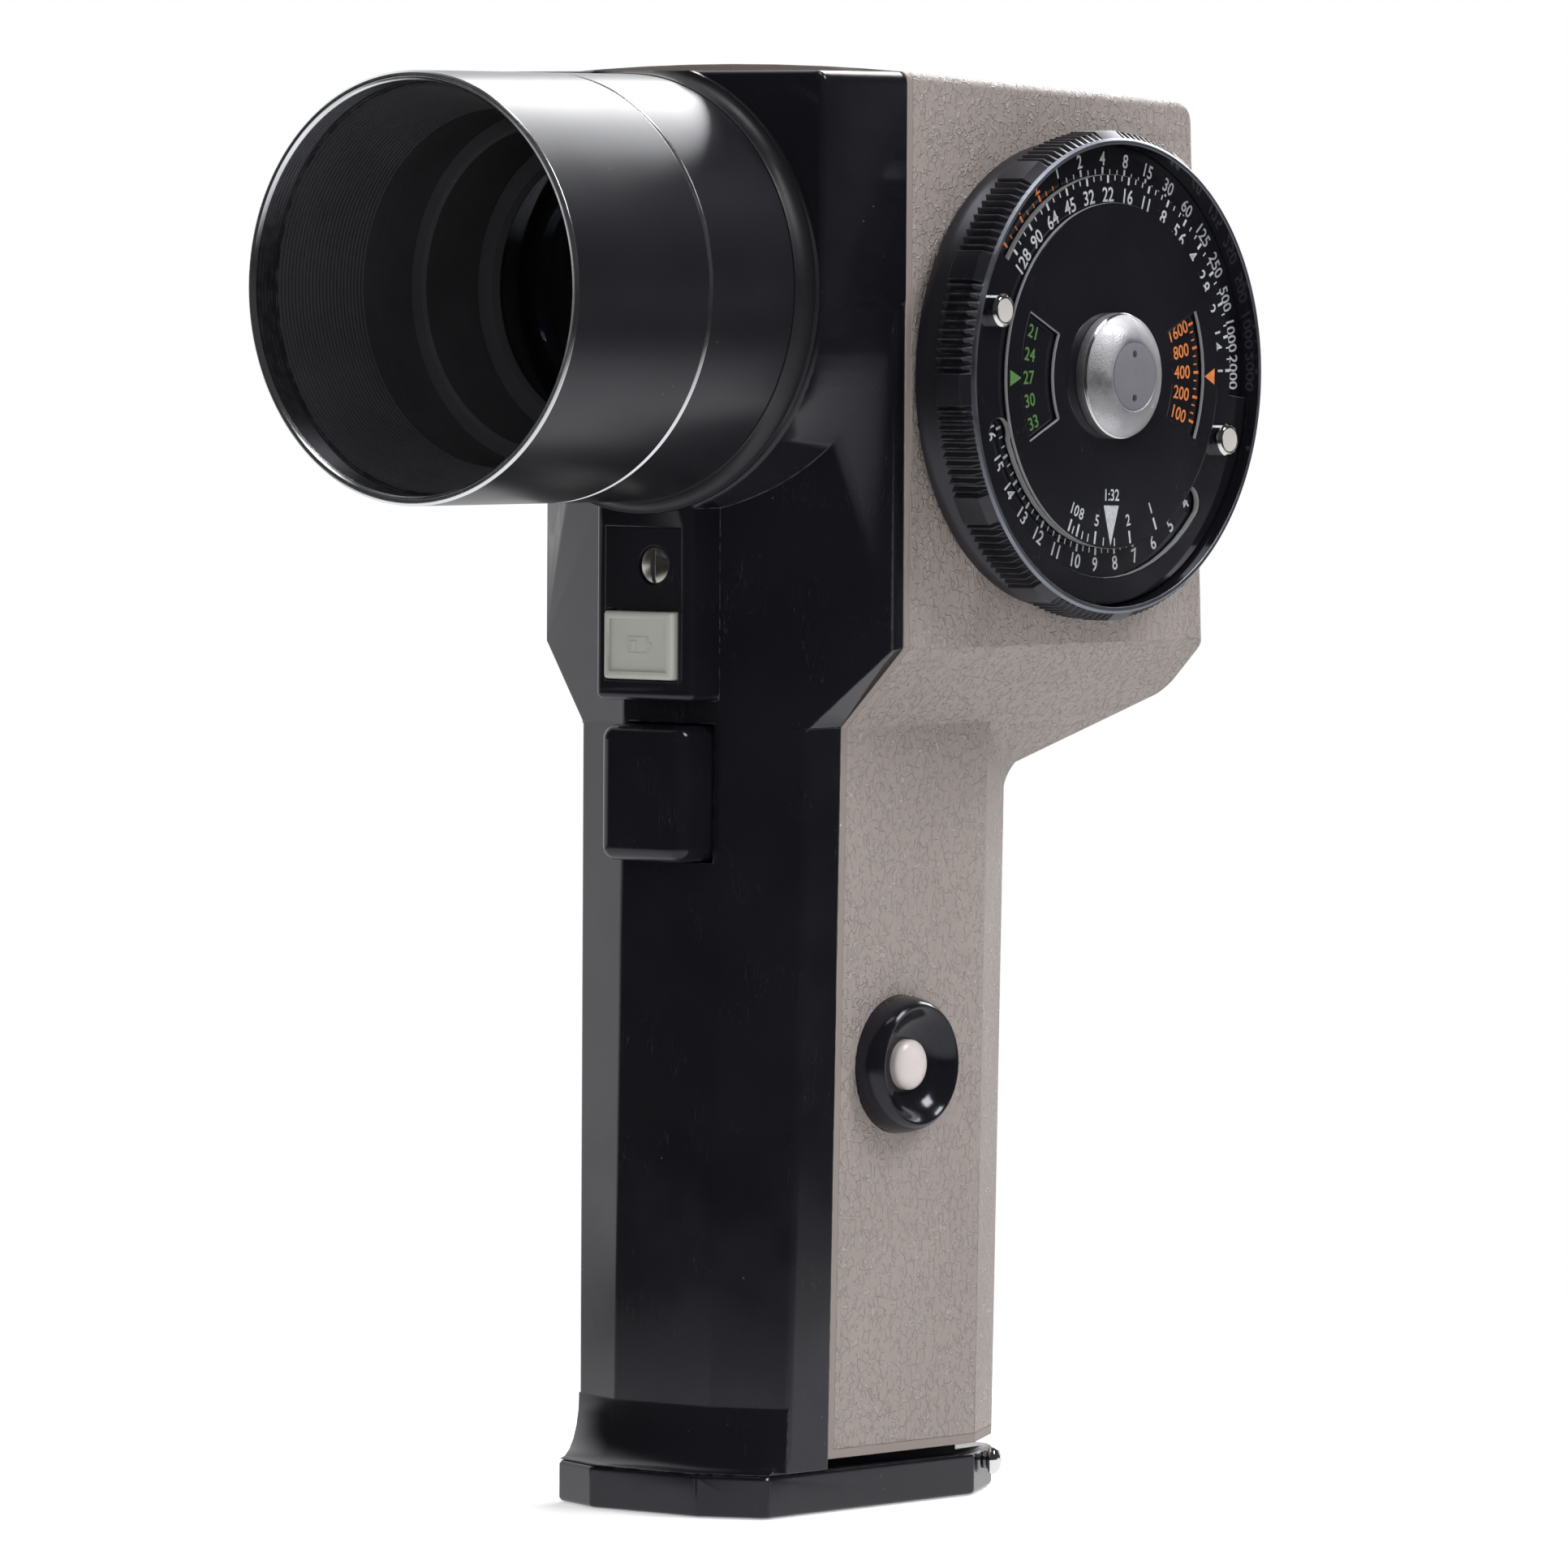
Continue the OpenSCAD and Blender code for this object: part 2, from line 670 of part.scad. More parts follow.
module shelf_screw_holes(side) {
    for (y = shelf_screw_y)
        rod_z(screw_r, [shelf_z - ledge_t - over, shelf_z + over], side * shelf_screw_x, y);
}

// Three screws through the dial's foot flange, round the dial's axis
module dial_screw_places() {
    for (a = [30 : 120 : 270])
        translate([0, dial_y + flange_screw_r * sin(a), dial_z + flange_screw_r * cos(a)]) children();
}

module chassis() {
    tongue = [-tongue_half_w, tongue_half_w];
    color("#9a9c9e") from_seam() difference() {
        union() {
            rod_y(disc_r, [block_in, chassis_back], 0, lens_z);
            block(tongue, [chassis_back - 1, 1], [shelf_z, shelf_top]);
            block([-shelf_half_w, shelf_half_w], [1, back_wall_at + back_wall_t], [shelf_z, shelf_top]);
            block([-back_wall_half_w, back_wall_half_w], [back_wall_at, back_wall_at + back_wall_t],
                [shelf_z, lens_z + back_wall_rise]);
        }
        rod_y(cell_r + slip, [block_in - over, chassis_back + over], 0, lens_z);
        rod_y(eye_r + slip, [back_wall_at - over, back_wall_at + back_wall_t + over], 0, lens_z);
        barrel_screw_places() rod_y(screw_r + 0.1, [block_in - over, chassis_back + over], 0, 0);
        // Flat that clears the casing's top wall
        block([-hw, hw], [block_in - over, chassis_back + over], [head_top - wall - 0.3, head_top + far]);
        // Slot for the pointer, holes for the shelf's and the magnet's screws
        block([-pointer_slot_half_w, pointer_slot_half_w], [pointer_y - 1.5, pointer_y + 1.2],
            [shelf_z - over, shelf_top + over]);
        for (y = shelf_screw_y) for (s = [-1, 1])
            rod_z(screw_r + 0.1, [shelf_z - over, shelf_top + over], s * shelf_screw_x, y);
        for (s = [-1, 1])
            rod_z(screw_r + 0.1, [shelf_z - over, shelf_top + over], s * magnet_screw_x, magnet_screw_y);
    }
}

module front_plate() {
    color("#17171a") from_seam() difference() {
        block([-inlay_w / 2, inlay_w / 2], [-block_out, -block_out + inlay_t],
            [inlay_z - inlay_h / 2, inlay_z + inlay_h / 2]);
        block([-check_w / 2 - window_gap, check_w / 2 + window_gap], [-block_out - over, -block_out + over],
            [check_z - check_h / 2 - window_gap, check_z + check_h / 2 + window_gap]);
        rod_y(zero_r + 0.15, [-block_out - over, -block_out + over], zero_x, zero_z);
    }
}

module zero_screw() {
    head_at = -block_out - 0.1;
    color("#b9bcc0") from_seam() difference() {
        union() {
            rod_y(zero_r, [head_at, -block_out + inlay_t - 0.05], zero_x, zero_z);
            rod_y(screw_r, [-block_out, front_in + 2], zero_x, zero_z);
        }
        block([zero_x - 0.3, zero_x + 0.3], [head_at - over, head_at + 0.35], [zero_z - 3, zero_z + 3]);
    }
}

module check_button() {
    color("#b4b4b0") from_seam() difference() {
        union() {
            block([-check_w / 2, check_w / 2], [-block_out - check_proud, check_back],
                [check_z - check_h / 2, check_z + check_h / 2]);
            block([-check_w / 2 - 0.6, check_w / 2 + 0.6], [-block_out + panel_wall + 0.1, check_back],
                [check_z - check_h / 2 - 0.6, check_z + check_h / 2 + 0.6]);
        }
        // Recessed field inside a raised rim
        block([-check_w / 2 + 0.9, check_w / 2 - 0.9],
            [-block_out - check_proud - over, -block_out - check_proud + 0.35],
            [check_z - check_h / 2 + 0.9, check_z + check_h / 2 - 0.9]);
    }
}

module check_spring() {
    color("#c8c8c8") from_seam() translate([0, check_back + 0.05, check_z]) rotate([-90, 0, 0])
        coil_spring(2.2, 0.2, panel_floor - check_back - 0.1, 3);
}

module trigger() {
    lip = [front_in + 0.3, front_in + 0.3 + lip_t];
    color("#0b0b0d") from_seam() union() {
        block([-trigger_w / 2, trigger_w / 2], [-trigger_out, lip[1]],
            [trigger_z - trigger_h / 2, trigger_z + trigger_h / 2]);
        block([-trigger_w / 2, trigger_w / 2], lip,
            [trigger_z - trigger_h / 2 - 1, trigger_z + trigger_h / 2 + 1]);
    }
}

module trigger_spring() {
    start = front_in + 0.3 + lip_t + 0.05;
    color("#c8c8c8") from_seam() translate([0, start, trigger_z]) rotate([-90, 0, 0])
        coil_spring(2.4, 0.25, bar_y[0] - start - 0.05, 4);
}

module trigger_switch() {
    color("#2a2a2e") from_seam() union() {
        block([-4, 4], [bar_y[1], bar_y[1] + 6], [trigger_z - 5, trigger_z + 5]);
        rod_y(1, [front_in + 0.35 + lip_t + trigger_travel, bar_y[1] + over], 0, trigger_z);
    }
}

module lamp_ring() {
    r = lamp_ring_r;
    x = lamp_seat;
    top = x + lamp_ring_h;
    hole = lamp_r + running;
    color("#0b0b0d") from_seam()
        turned_x([[hole, lamp_inner], [4.5, lamp_inner], [4.5, x], [r, x], [r, x + 1.2], [r - 0.5, x + 1.5],
            [r - 0.5, top - 0.5], [r - 0.9, top], [r - 1.4, top], [r - 1.9, top - 0.6], [r - 2.6, top - 1.7],
            [r - 3.6, top - 2.4], [hole + 0.4, top - 2.8], [hole, top - 2.8]], lamp_y, lamp_z);
}

module lamp_button() {
    tip = lamp_seat + lamp_ring_h - 0.7;
    low = lamp_inner - 0.05;
    color("#e6e1dc") from_seam()
        turned_x([[0, low - lip_t], [4, low - lip_t], [4, low], [lamp_r, low], [lamp_r, tip - 1.2],
            [lamp_r * 0.9, tip - 0.6], [lamp_r * 0.66, tip - 0.22], [lamp_r * 0.33, tip - 0.05], [0, tip]],
            lamp_y, lamp_z);
}

module lamp_spring() {
    low = lamp_inner - 0.1 - lip_t;
    color("#c8c8c8") from_seam() translate([8.45, lamp_y, lamp_z]) rotate([0, 90, 0])
        coil_spring(2.4, 0.25, low - 8.45, 3);
}

module lamp_switch() {
    color("#2a2a2e") from_seam() block([4.4, 8.4], [lamp_y - 4, lamp_y + 4], [lamp_z - 5, lamp_z + 5]);
}

module hood_tube() {
    color("#1a1a1c") from_seam()
        turned_y([[filter_r, rim_at], [barrel_r - 0.4, rim_at], [barrel_r, rim_at + 0.4],
            [barrel_r, groove_at - 0.35], [barrel_r - 0.35, groove_at], [seat_r, groove_at],
            [seat_r, baffle_at], [filter_r, baffle_at]]);
}

module baffle() {
    steps = 12;
    step = (bore_at - baffle_at) / steps;
    wide = seat_r - slip - baffle_lip;
    fall = (wide - bore_r) / steps;
    ribs = [for (i = [0 : steps - 1]) each [[wide - fall * i, baffle_at + step * i],
        [wide - fall * i, baffle_at + step * (i + 0.5)],
        [wide - fall * (i + 1) + 0.35, baffle_at + step * (i + 0.5)]]];
    color("#1b1b1d") from_seam()
        turned_y(concat([[seat_r - slip, baffle_at]], ribs, [[bore_r, bore_at], [bore_r, groove_at - spigot_l],
            [seat_r - slip, groove_at - spigot_l]]));
}

module barrel() {
    root_r = barrel_r - 0.5;
    root_at = -block_out - collar_l;
    color("#1a1a1c") from_seam() difference() {
        turned_y([[bore_r, groove_at - spigot_l], [seat_r - slip, groove_at - spigot_l],
            [seat_r - slip, groove_at],
            [barrel_r - 0.35, groove_at], [barrel_r, groove_at + 0.35], [barrel_r, root_at], [root_r, root_at],
            [root_r, -block_out], [cell_r + slip, -block_out], [cell_r + slip, -block_out - rear_ring_l],
            [bore_r, -block_out - rear_ring_l]]);
        barrel_screw_places() rod_y(screw_r, [-block_out - rear_ring_l + over, -block_out + over], 0, 0);
    }
}

module barrel_collar() {
    inner = barrel_r - 0.5 + slip;
    at = -block_out - collar_l;
    // The ring is cut flat on top, level with the head
    color("#0b0b0d") from_seam() intersection() {
        turned_y([[inner, -block_out], [inner, at + 0.1], [barrel_r + 0.1, at + 0.1],
            [barrel_r + 0.35, at + 1.3], [barrel_r + 0.9, at + 2], [collar_r, at + 2.2],
            [collar_r, -block_out]]);
        block([-collar_r - over, collar_r + over], [at - over, 0], [lens_z - collar_r - over, head_top]);
    }
}

module lens_cell() {
    wide = bore_r - slip;
    seat = glass_at + glass_t;
    rear = seat + lens_gap;
    color("#202024") from_seam()
        turned_y([[wide - 1.9, cell_at + 0.4], [wide - 1.5, cell_at], [wide, cell_at],
            [wide, -block_out - rear_ring_l], [cell_r, -block_out - rear_ring_l], [cell_r, chassis_back + 2],
            [cell_stop_r, chassis_back + 2], [cell_stop_r, rear + rear_lens_t + 0.1],
            [rear_lens_r + slip, rear + rear_lens_t + 0.1], [rear_lens_r + slip, rear], [cell_gap_r, rear],
            [cell_gap_r, seat],
            [lens_r + slip, seat], [lens_r + slip, glass_at], [wide - 1.9, glass_at]]);
}

module lens_ring() {
    color("#1b1b1d") from_seam()
        turned_y([[lens_r - 1, glass_at - 0.35], [lens_r - 1, glass_at - 0.6], [lens_r - 0.6, glass_at - 1.6],
            [bore_r - 2.05, glass_at - 1.6], [bore_r - 2.05, glass_at], [lens_r + 0.1, glass_at]]);
}

module front_lens() {
    crown = 2.2;
    r = (lens_r * lens_r + crown * crown) / (2 * crown);
    arc = [for (i = [0 : 8]) let (a = i / 8 * asin(lens_r / r))
        [r * sin(a), glass_at - r * cos(a) + r - crown]];
    color("#33384a", 0.5) from_seam()
        turned_y(concat([[0, glass_at + glass_t]], [for (p = arc) [min(p[0], lens_r), p[1]]],
            [[lens_r, glass_at + glass_t]]));
}

module rear_lens() {
    at = glass_at + glass_t + lens_gap + 0.1;
    color("#33384a", 0.5) from_seam()
        turned_y([[0, at + 0.4], [rear_lens_r / 2, at + 0.1], [rear_lens_r, at],
            [rear_lens_r, at + rear_lens_t], [0, at + rear_lens_t - 1]]);
}

module dial_flange() {
    r = flange_r;
    x = pad_x;
    color("#101012") from_seam() difference() {
        turned_x([[8.15, x], [r, x], [r - 0.1, x + 0.9], [r - 0.6, x + 1.9], [r - 0.95, x + 2.8],
            [r - 1, flange_x], [16.5, flange_x], [16.5, flange_floor_x], [shaft_r + 0.15, flange_floor_x],
            [shaft_r + 0.15, x + shaft_foot_t], [8.15, x + shaft_foot_t]], dial_y, dial_z);
        dial_screw_places() rod_x(screw_r + 0.1, [x - over, x + 3], 0, 0);
        detent_place() rod_x(ball_r + slip, [x + 0.4, flange_x + over], 0, 0);
    }
}

// Place of the click ball, on the far side of the dial's axis
module detent_place() {
    translate([0, dial_y, dial_z - detent_at_r]) children();
}

module dial_shaft() {
    x = pad_x;
    color("#a8aaac") from_seam()
        turned_x([[0, x], [8.1, x], [8.1, x + shaft_foot_t], [shaft_r, x + shaft_foot_t], [shaft_r, plate_x],
            [stud_r, plate_x], [stud_r, stud_end], [0, stud_end]], dial_y, dial_z);
}

module spring_washer() {
    x = flange_floor_x;
    color("#c0c2c4") from_seam()
        turned_x([[6.9, x], [6.9, x + 0.3], [shaft_r + 0.3, hub_low_x - 0.03],
            [shaft_r + 0.3, hub_low_x - 0.33]], dial_y, dial_z);
}

module detent_ball() {
    color("#c0c2c4") from_seam() detent_place() translate([flange_x + 0.15 - ball_r, 0, 0])
        sphere(r = ball_r, $fn = 48);
}

module detent_spring() {
    color("#c8c8c8") from_seam() detent_place() translate([pad_x + 0.4, 0, 0]) rotate([0, 90, 0])
        coil_spring(0.55, 0.12, flange_x + 0.1 - 2 * ball_r - pad_x - 0.4, 4);
}

// Outline of the ring's rim: runs of V-shaped teeth between smooth blocks
function ring_outline() = let (run = 360 / blocks - block_angle, pitch = run / run_teeth)
    [for (b = [0 : blocks - 1]) let (a0 = 360 / blocks * b - block_angle / 2 - 3)
        each concat([for (i = [0 : 2]) polar(ring_r + 0.1, a0 + block_angle * i / 2)],
            [for (i = [0 : run_teeth - 1]) each [polar(ring_r - tooth_d, a0 + block_angle + pitch * (i + 0.1)),
                polar(ring_r, a0 + block_angle + pitch * (i + 0.55)),
                polar(ring_r - tooth_d, a0 + block_angle + pitch * (i + 0.9))]])];

function polar(r, a) = [-r * cos(a), r * sin(a)];

module knurled_ring() {
    color("#0e0e10") from_seam() difference() {
        intersection() {
            translate([ring_x, dial_y, dial_z]) rotate([0, 90, 0]) linear_extrude(ring_t)
                polygon(ring_outline());
            turned_x([[0, ring_x], [ring_r + 0.2, ring_x], [ring_r + 0.2, ring_front - 1.3],
                [lip_r + 0.75, ring_front - 0.3], [lip_r + 0.45, ring_front], [0, ring_front]], dial_y, dial_z);
        }
        rod_x(22, [ring_x - over, ring_front + over], dial_y, dial_z);
        rod_x(lip_r, [ledge_x, ring_front + over], dial_y, dial_z);
    }
}

module scale_disc() {
    hub_low = hub_low_x;
    bore = shaft_r + running;
    color("#111113") from_seam()
        turned_x([[bore, hub_low], [6.5, hub_low], [6.5, ledge_x], [lip_r - slip, ledge_x],
            [lip_r - slip, scale_x], [bore, scale_x]], dial_y, dial_z);
}

// A sector of a ring, between two angles clockwise from the top as seen from +X
module sector(r0, r1, a0, a1, x) {
    n = max(2, ceil((a1 - a0) / 6));
    inner = [for (i = [0 : n]) polar(r0, a0 + (a1 - a0) * i / n)];
    outer = [for (i = [n : -1 : 0]) polar(r1, a0 + (a1 - a0) * i / n)];
    translate([x[0], dial_y, dial_z]) rotate([0, 90, 0]) linear_extrude(x[1] - x[0])
        polygon(concat(inner, outer));
}

module speed_disc() {
    x = [speed_x, speed_front];
    cut = [speed_x - over, speed_front + over];
    color("#0d0d0f") from_seam() difference() {
        rod_x(lip_r - 0.35, x, dial_y, dial_z);
        rod_x(shaft_r + running, cut, dial_y, dial_z);
        // Window over the time scale, then the window over the light value scale
        sector(time_window_r, lip_r + over, -55, 96, cut);
        sector(plate_r - 0.1, 23.6, 134, 252, cut);
        for (a = [134, 252])
            rod_x(1.95, cut, dial_y + 21.65 * sin(a), dial_z + 21.65 * cos(a));
    }
}

module grip_pins() {
    color("#d8d9da") from_seam()
        for (a = [pin_angle, pin_angle + 180])
            turned_x([[0, speed_front], [pin_r, speed_front], [pin_r, speed_front + pin_h - 0.2],
                [pin_r - 0.2, speed_front + pin_h], [0, speed_front + pin_h]],
                dial_y + pin_at_r * sin(a), dial_z + pin_at_r * cos(a));
}

module center_plate() {
    x = [plate_x, plate_front];
    cut = [plate_x - over, plate_front + over];
    color("#0d0d0f") from_seam() difference() {
        rod_x(plate_r, x, dial_y, dial_z);
        rod_x(stud_r + slip, cut, dial_y, dial_z);
        for (a = [-90, 90])
            sector(11.4, 17.5, a - 25.5, a + 25.5, cut);
    }
}

module hub_cap() {
    x = plate_front;
    top = hub_front;
    color("#c9cacc") from_seam()
        turned_x([[stud_r + slip, x], [hub_r, x], [hub_r, x + 1], [hub_r - 0.15, x + 1.1],
            [hub_r - 0.15, x + 1.3], [hub_r - 0.45, x + 1.5], [hub_r - 1.2, x + 2.2], [nut_r + 1.2, top - 0.35], [nut_r + slip, top],
            [nut_r + slip, x + hub_floor_t], [stud_r + slip, x + hub_floor_t]], dial_y, dial_z);
}

module hub_nut() {
    x = plate_front + hub_floor_t;
    color("#8f9296") from_seam() difference() {
        turned_x([[stud_r + slip, x], [nut_r, x], [nut_r, hub_front], [0, hub_front], [0, stud_end + 0.05],
            [stud_r + slip, stud_end + 0.05]], dial_y, dial_z);
        for (s = [-1, 1])
            rod_x(0.4, [hub_front - 0.5, hub_front + over], dial_y, dial_z + s * 2.56);
    }
}

module eye_tube() {
    end = head_back + 5.5;
    flange = [back_wall_at + 3, back_wall_at + 4.5];
    color("#1b1b1d") from_seam() union() {
        turned_y([[eye_bore, tube_front], [eye_r, tube_front], [eye_r, flange[0]], [eye_r + 2, flange[0]],
            [eye_r + 2, flange[1]], [eye_r, flange[1]], [eye_r, end], [eye_bore, end],
            [eye_bore, tube_front + 4], [eye_bore - 1, tube_front + 4], [eye_bore - 1, tube_front + 2.5], [eye_bore, tube_front + 2.5]]);
    }
}

module focus_ring() {
    at = head_back + 0.4;
    end = at + focus_l;
    color("#161618") from_seam()
        turned_y([[eye_r + running, at], [focus_r - 0.4, at], [focus_r, at + 0.4], [focus_r, end - 0.5],
            [focus_r - 0.5, end], [6.6, end], [6.6, end - 0.8], [eye_r + running, end - 0.8]]);
}

module eyecup() {
    at = head_back + 0.4 + focus_l;
    end = at + cup_l;
    color("#0c0c0c") from_seam()
        turned_y([[8.2, at], [focus_r - 0.6, at], [focus_r + 0.6, end - 0.8], [focus_r, end],
            [focus_r - 0.9, end - 0.2], [9.4, at + 1]]);
}

module eye_cell() {
    mid = head_back + 0.5;
    color("#2a2a2c") from_seam()
        turned_y([[6.5, mid - 4], [eye_bore - running, mid - 4], [eye_bore - running, mid + 4], [5.6, mid + 4],
            [5.6, mid + 2.8], [6.5, mid + 2.8]]);
}

module eye_lens() {
    at = head_back - 1.2;
    color("#8fa0b0", 0.5) from_seam()
        turned_y([[0, at], [3.4, at + 0.15], [6.47, at + 0.7], [6.47, at + 4.5], [0, at + 4.5]]);
}

module beam_prism() {
    h = prism_side / 2;
    color("#a8c0d0", 0.5) from_seam()
        block([-h, h], [prism_y - h, prism_y + h], [prism_low, prism_low + prism_side]);
}

module prism_holder() {
    h = prism_side / 2;
    color("#8c8e90") from_seam() difference() {
        block([-h - 2, h + 2], [prism_y - h, prism_y + h], [shelf_top, prism_low + prism_side - 2]);
        block([-h - 0.02, h + 0.02], [prism_y - h - over, prism_y + h + over], [prism_low, lens_z + far]);
        block([-h + 2, h - 2], [prism_y - h - over, prism_y + h + over], [shelf_top - over, prism_low - 3]);
        rod_x(3, [-h - 3, 0], prism_y, lens_z);
    }
}

module photocell() {
    h = prism_side / 2;
    color("#b0a878") from_seam() turned_x([[0, -h - 8], [3.8, -h - 8], [3.8, -h - 2.8], [4.5, -h - 2.8],
        [4.5, -h - 2], [0, -h - 2]], prism_y, lens_z);
}

module reticle() {
    color("#d0dce0", 0.5) from_seam() rod_y(eye_bore - 0.05, [tube_front + 1, tube_front + 2.5], 0, lens_z);
}

module meter_scale() {
    color("#e8e4d8", 0.8) from_seam() difference() {
        rod_y(eye_r, [tube_front - scale_plate_t, tube_front], 0, lens_z);
        block([-far, far], [0, far], [lens_z - 5, lens_z + far]);
    }
}

module meter_magnet() {
    color("#6d7074") from_seam() union() {
        difference() {
            block([-magnet_half_w, magnet_half_w], magnet_y, [meter_z - magnet_drop, shelf_z]);
            rod_y(magnet_bore_r, [magnet_y[0] - over, magnet_y[1] + over], 0, meter_z);
            for (s = [-1, 1])
                rod_z(screw_r, [shelf_z - 4, shelf_z + over], s * magnet_screw_x, magnet_screw_y);
        }
        // Round iron core on its strut, inside the coil
        rod_y(core_r, [magnet_y[0] + 0.7, magnet_y[1] - 0.7], 0, meter_z);
        block([-1.5, 1.5], [magnet_y[0] + 3, magnet_y[1] - 3], [meter_z + 4, meter_z + 7.5]);
    }
}

// Turns the moving group to its place at rest
module at_rest() {
    translate([0, 0, meter_z]) rotate([0, -pointer_rest, 0]) children();
}

module meter_coil() {
    y = [magnet_y[0] - 1.2, magnet_y[1] + 1.2];
    color("#b5622c") from_seam() at_rest() difference() {
        block([-5.9, 5.9], y, [-1.5, 1.5]);
        block([-4.9, 4.9], [y[0] + 1, y[1] - 1], [-2, 2]);
        rod_y(0.6 + slip, [y[0] - over, y[1] + over], 0, 0);
    }
}

module meter_pointer() {
    y = [magnet_y[0] - 3, pointer_y + 0.6];
    color("#c2402a") from_seam() at_rest() union() {
        rod_y(0.6, [y[0], magnet_y[0] - 0.4], 0, 0);
        rod_y(0.6, [magnet_y[1] + 0.3, y[1]], 0, 0);
        rod_y(1.4, [pointer_y - 0.2, pointer_y + 0.2], 0, 0);
        along_y([[-0.5, 0], [0.5, 0], [0.2, pointer_l], [-0.2, pointer_l]], [pointer_y - 0.2, pointer_y + 0.2]);
        along_y([[-1, 0], [1, 0], [1.2, -5], [-1.2, -5]], [pointer_y - 0.2, pointer_y + 0.2]);
    }
}

module meter_bridges() {
    back = [magnet_y[0] - 3.2, magnet_y[0] - 2.2];
    front = [magnet_y[1] + 1.6, magnet_y[1] + 2.4];
    leg_x = magnet_half_w - 1;
    color("#b08d4a") from_seam() difference() {
        union() {
            block([-magnet_half_w, magnet_half_w], back, [meter_z - 2.5, meter_z + 2.5]);
            block([-magnet_half_w, magnet_half_w], front, [meter_z - 2.5, meter_z + 2.5]);
            for (s = [-1, 1]) {
                block([s * leg_x - 1, s * leg_x + 1], [back[0], magnet_y[0]], [meter_z - 2.5, meter_z + 2.5]);
                block([s * leg_x - 1, s * leg_x + 1], [magnet_y[1], front[1]], [meter_z - 2.5, meter_z + 2.5]);
            }
            rod_y(0.4, [back[1] - 0.1, back[1] + 0.8], 3.4, meter_z);
        }
        rod_y(0.6 + running, [back[0] - over, front[1] + over], 0, meter_z);
    }
}

module hair_spring() {
    turns = 3;
    n = 24 * turns;
    function r(i) = 1.1 + 1.9 * i / n;
    function at(r, i) = let (a = 360 * turns * i / n) [r * cos(a), r * sin(a)];
    inner = [for (i = [0 : n]) at(r(i) - 0.08, i)];
    outer = [for (i = [n : -1 : 0]) at(r(i) + 0.08, i)];
    color("#b08d4a") from_seam() translate([0, magnet_y[0] - 1.9, meter_z]) rotate([-90, 0, 0])
        linear_extrude(0.4) polygon(concat(inner, outer));
}

module circuit_board() {
    x = board_x + board_t;
    color("#8a6a3a") from_seam() difference() {
        union() {
            block([board_x, x], board_y, board_z);
            for (z = [54, 62, 70]) rod_x(2.2, [x - 0.1, x + 3.4], 9, z);
            for (z = [52, 60, 68, 76]) block([x - 0.1, x + 2.2], [15, 21], [z, z + 2.4]);
            for (z = [56, 72]) block([x - 0.1, x + 4], [23, 27], [z, z + 7]);
            rod_x(3, [x - 0.1, x + 4.6], 17, board_z[1] - 4.5);
        }
        for (p = board_screw_at)
            rod_x(screw_r + 0.1, [board_x - over, x + over], p[0], p[1]);
    }
}

module battery() {
    color("#b9b9b4") from_seam() translate([0, battery_y, 0]) rotate_extrude()
        polygon([[0, battery_z[0]], [battery_r - 0.4, battery_z[0]], [battery_r, battery_z[0] + 0.4],
            [battery_r, battery_z[1] - 1.2], [battery_r - 0.6, battery_z[1] - 0.6], [3, battery_z[1] - 0.6],
            [3, battery_z[1]], [0, battery_z[1]]]);
}

module battery_holder() {
    top = battery_z[1] + 1.9;
    color("#26262a") from_seam() difference() {
        union() {
            rod_z(battery_r + 1.5, [battery_z[0] + 1, top + 1.5], 0, battery_y);
            block([-hollow_half_w, hollow_half_w], [battery_y - 2, battery_y + 1.2], [top - 4, top + 1.5]);
        }
        rod_z(battery_r + 0.2, [battery_z[0] - over, top], 0, battery_y);
    }
}

module battery_contacts() {
    color("#c9a75a") from_seam() union() {
        rod_z(4.5, [battery_z[1], battery_z[1] + 1.9], 0, battery_y);
        translate([0, battery_y, base_t]) coil_spring(3.2, 0.35, battery_z[0] - base_t, 2);
    }
}

module base_cap() {
    lip = [base_t - 0.1, base_t + 3];
    color("#1f1f22") from_seam() difference() {
        union() {
            linear_extrude(base_t) polygon(base_plan());
            // Low rim that fits inside the covers
            difference() {
                block([-hollow_half_w + 0.15, hollow_half_w - 0.15], [1, grip_side_back - 0.4], lip);
                block([-hollow_half_w + 1.6, hollow_half_w - 1.6], [0, grip_side_back], [0, base_t + 4]);
            }
        }
        rod_z(bush_r + slip, [-over, base_t + over], 0, socket_y);
        rod_z(3.7, [-over, 1.8], 0, coin_y);
        rod_z(2.05, [0, base_t + over], 0, coin_y);
    }
}

module tripod_bush() {
    color("#b79a5b") from_seam() difference() {
        union() {
            rod_z(bush_r, [0, tripod_depth + 1], 0, socket_y);
            rod_z(bush_r + 1.6, [base_t, base_t + 1.4], 0, socket_y);
        }
        rod_z(tripod_r, [-over, tripod_depth], 0, socket_y);
    }
}

module coin_screw() {
    color("#a9abad") from_seam() difference() {
        union() {
            rod_z(3.55, [0.2, 1.8], 0, coin_y);
            rod_z(2, [1, 12], 0, coin_y);
        }
        block([-4, 4], [coin_y - 0.5, coin_y + 0.5], [-over, 1]);
    }
}

module strap_lug() {
    n = [back_flat_foot - fw, grip_back - grip_side_back];
    turn = atan2(-n[0], n[1]);
    at = [(back_flat_foot + fw) / 2, (grip_back + grip_side_back) / 2];
    color("#d8d9da") from_seam() translate([at[0], at[1], stud_z]) rotate([0, 0, turn]) rotate([0, 90, 0])
        rotate_extrude() polygon([[0, 0], [1.1, 0], [1.1, 0.6], [1.65, 0.75], [1.75, 1.1], [1.6, 1.55],
            [1.2, 1.9], [0.6, 2.1], [0, 2.15]]);
}

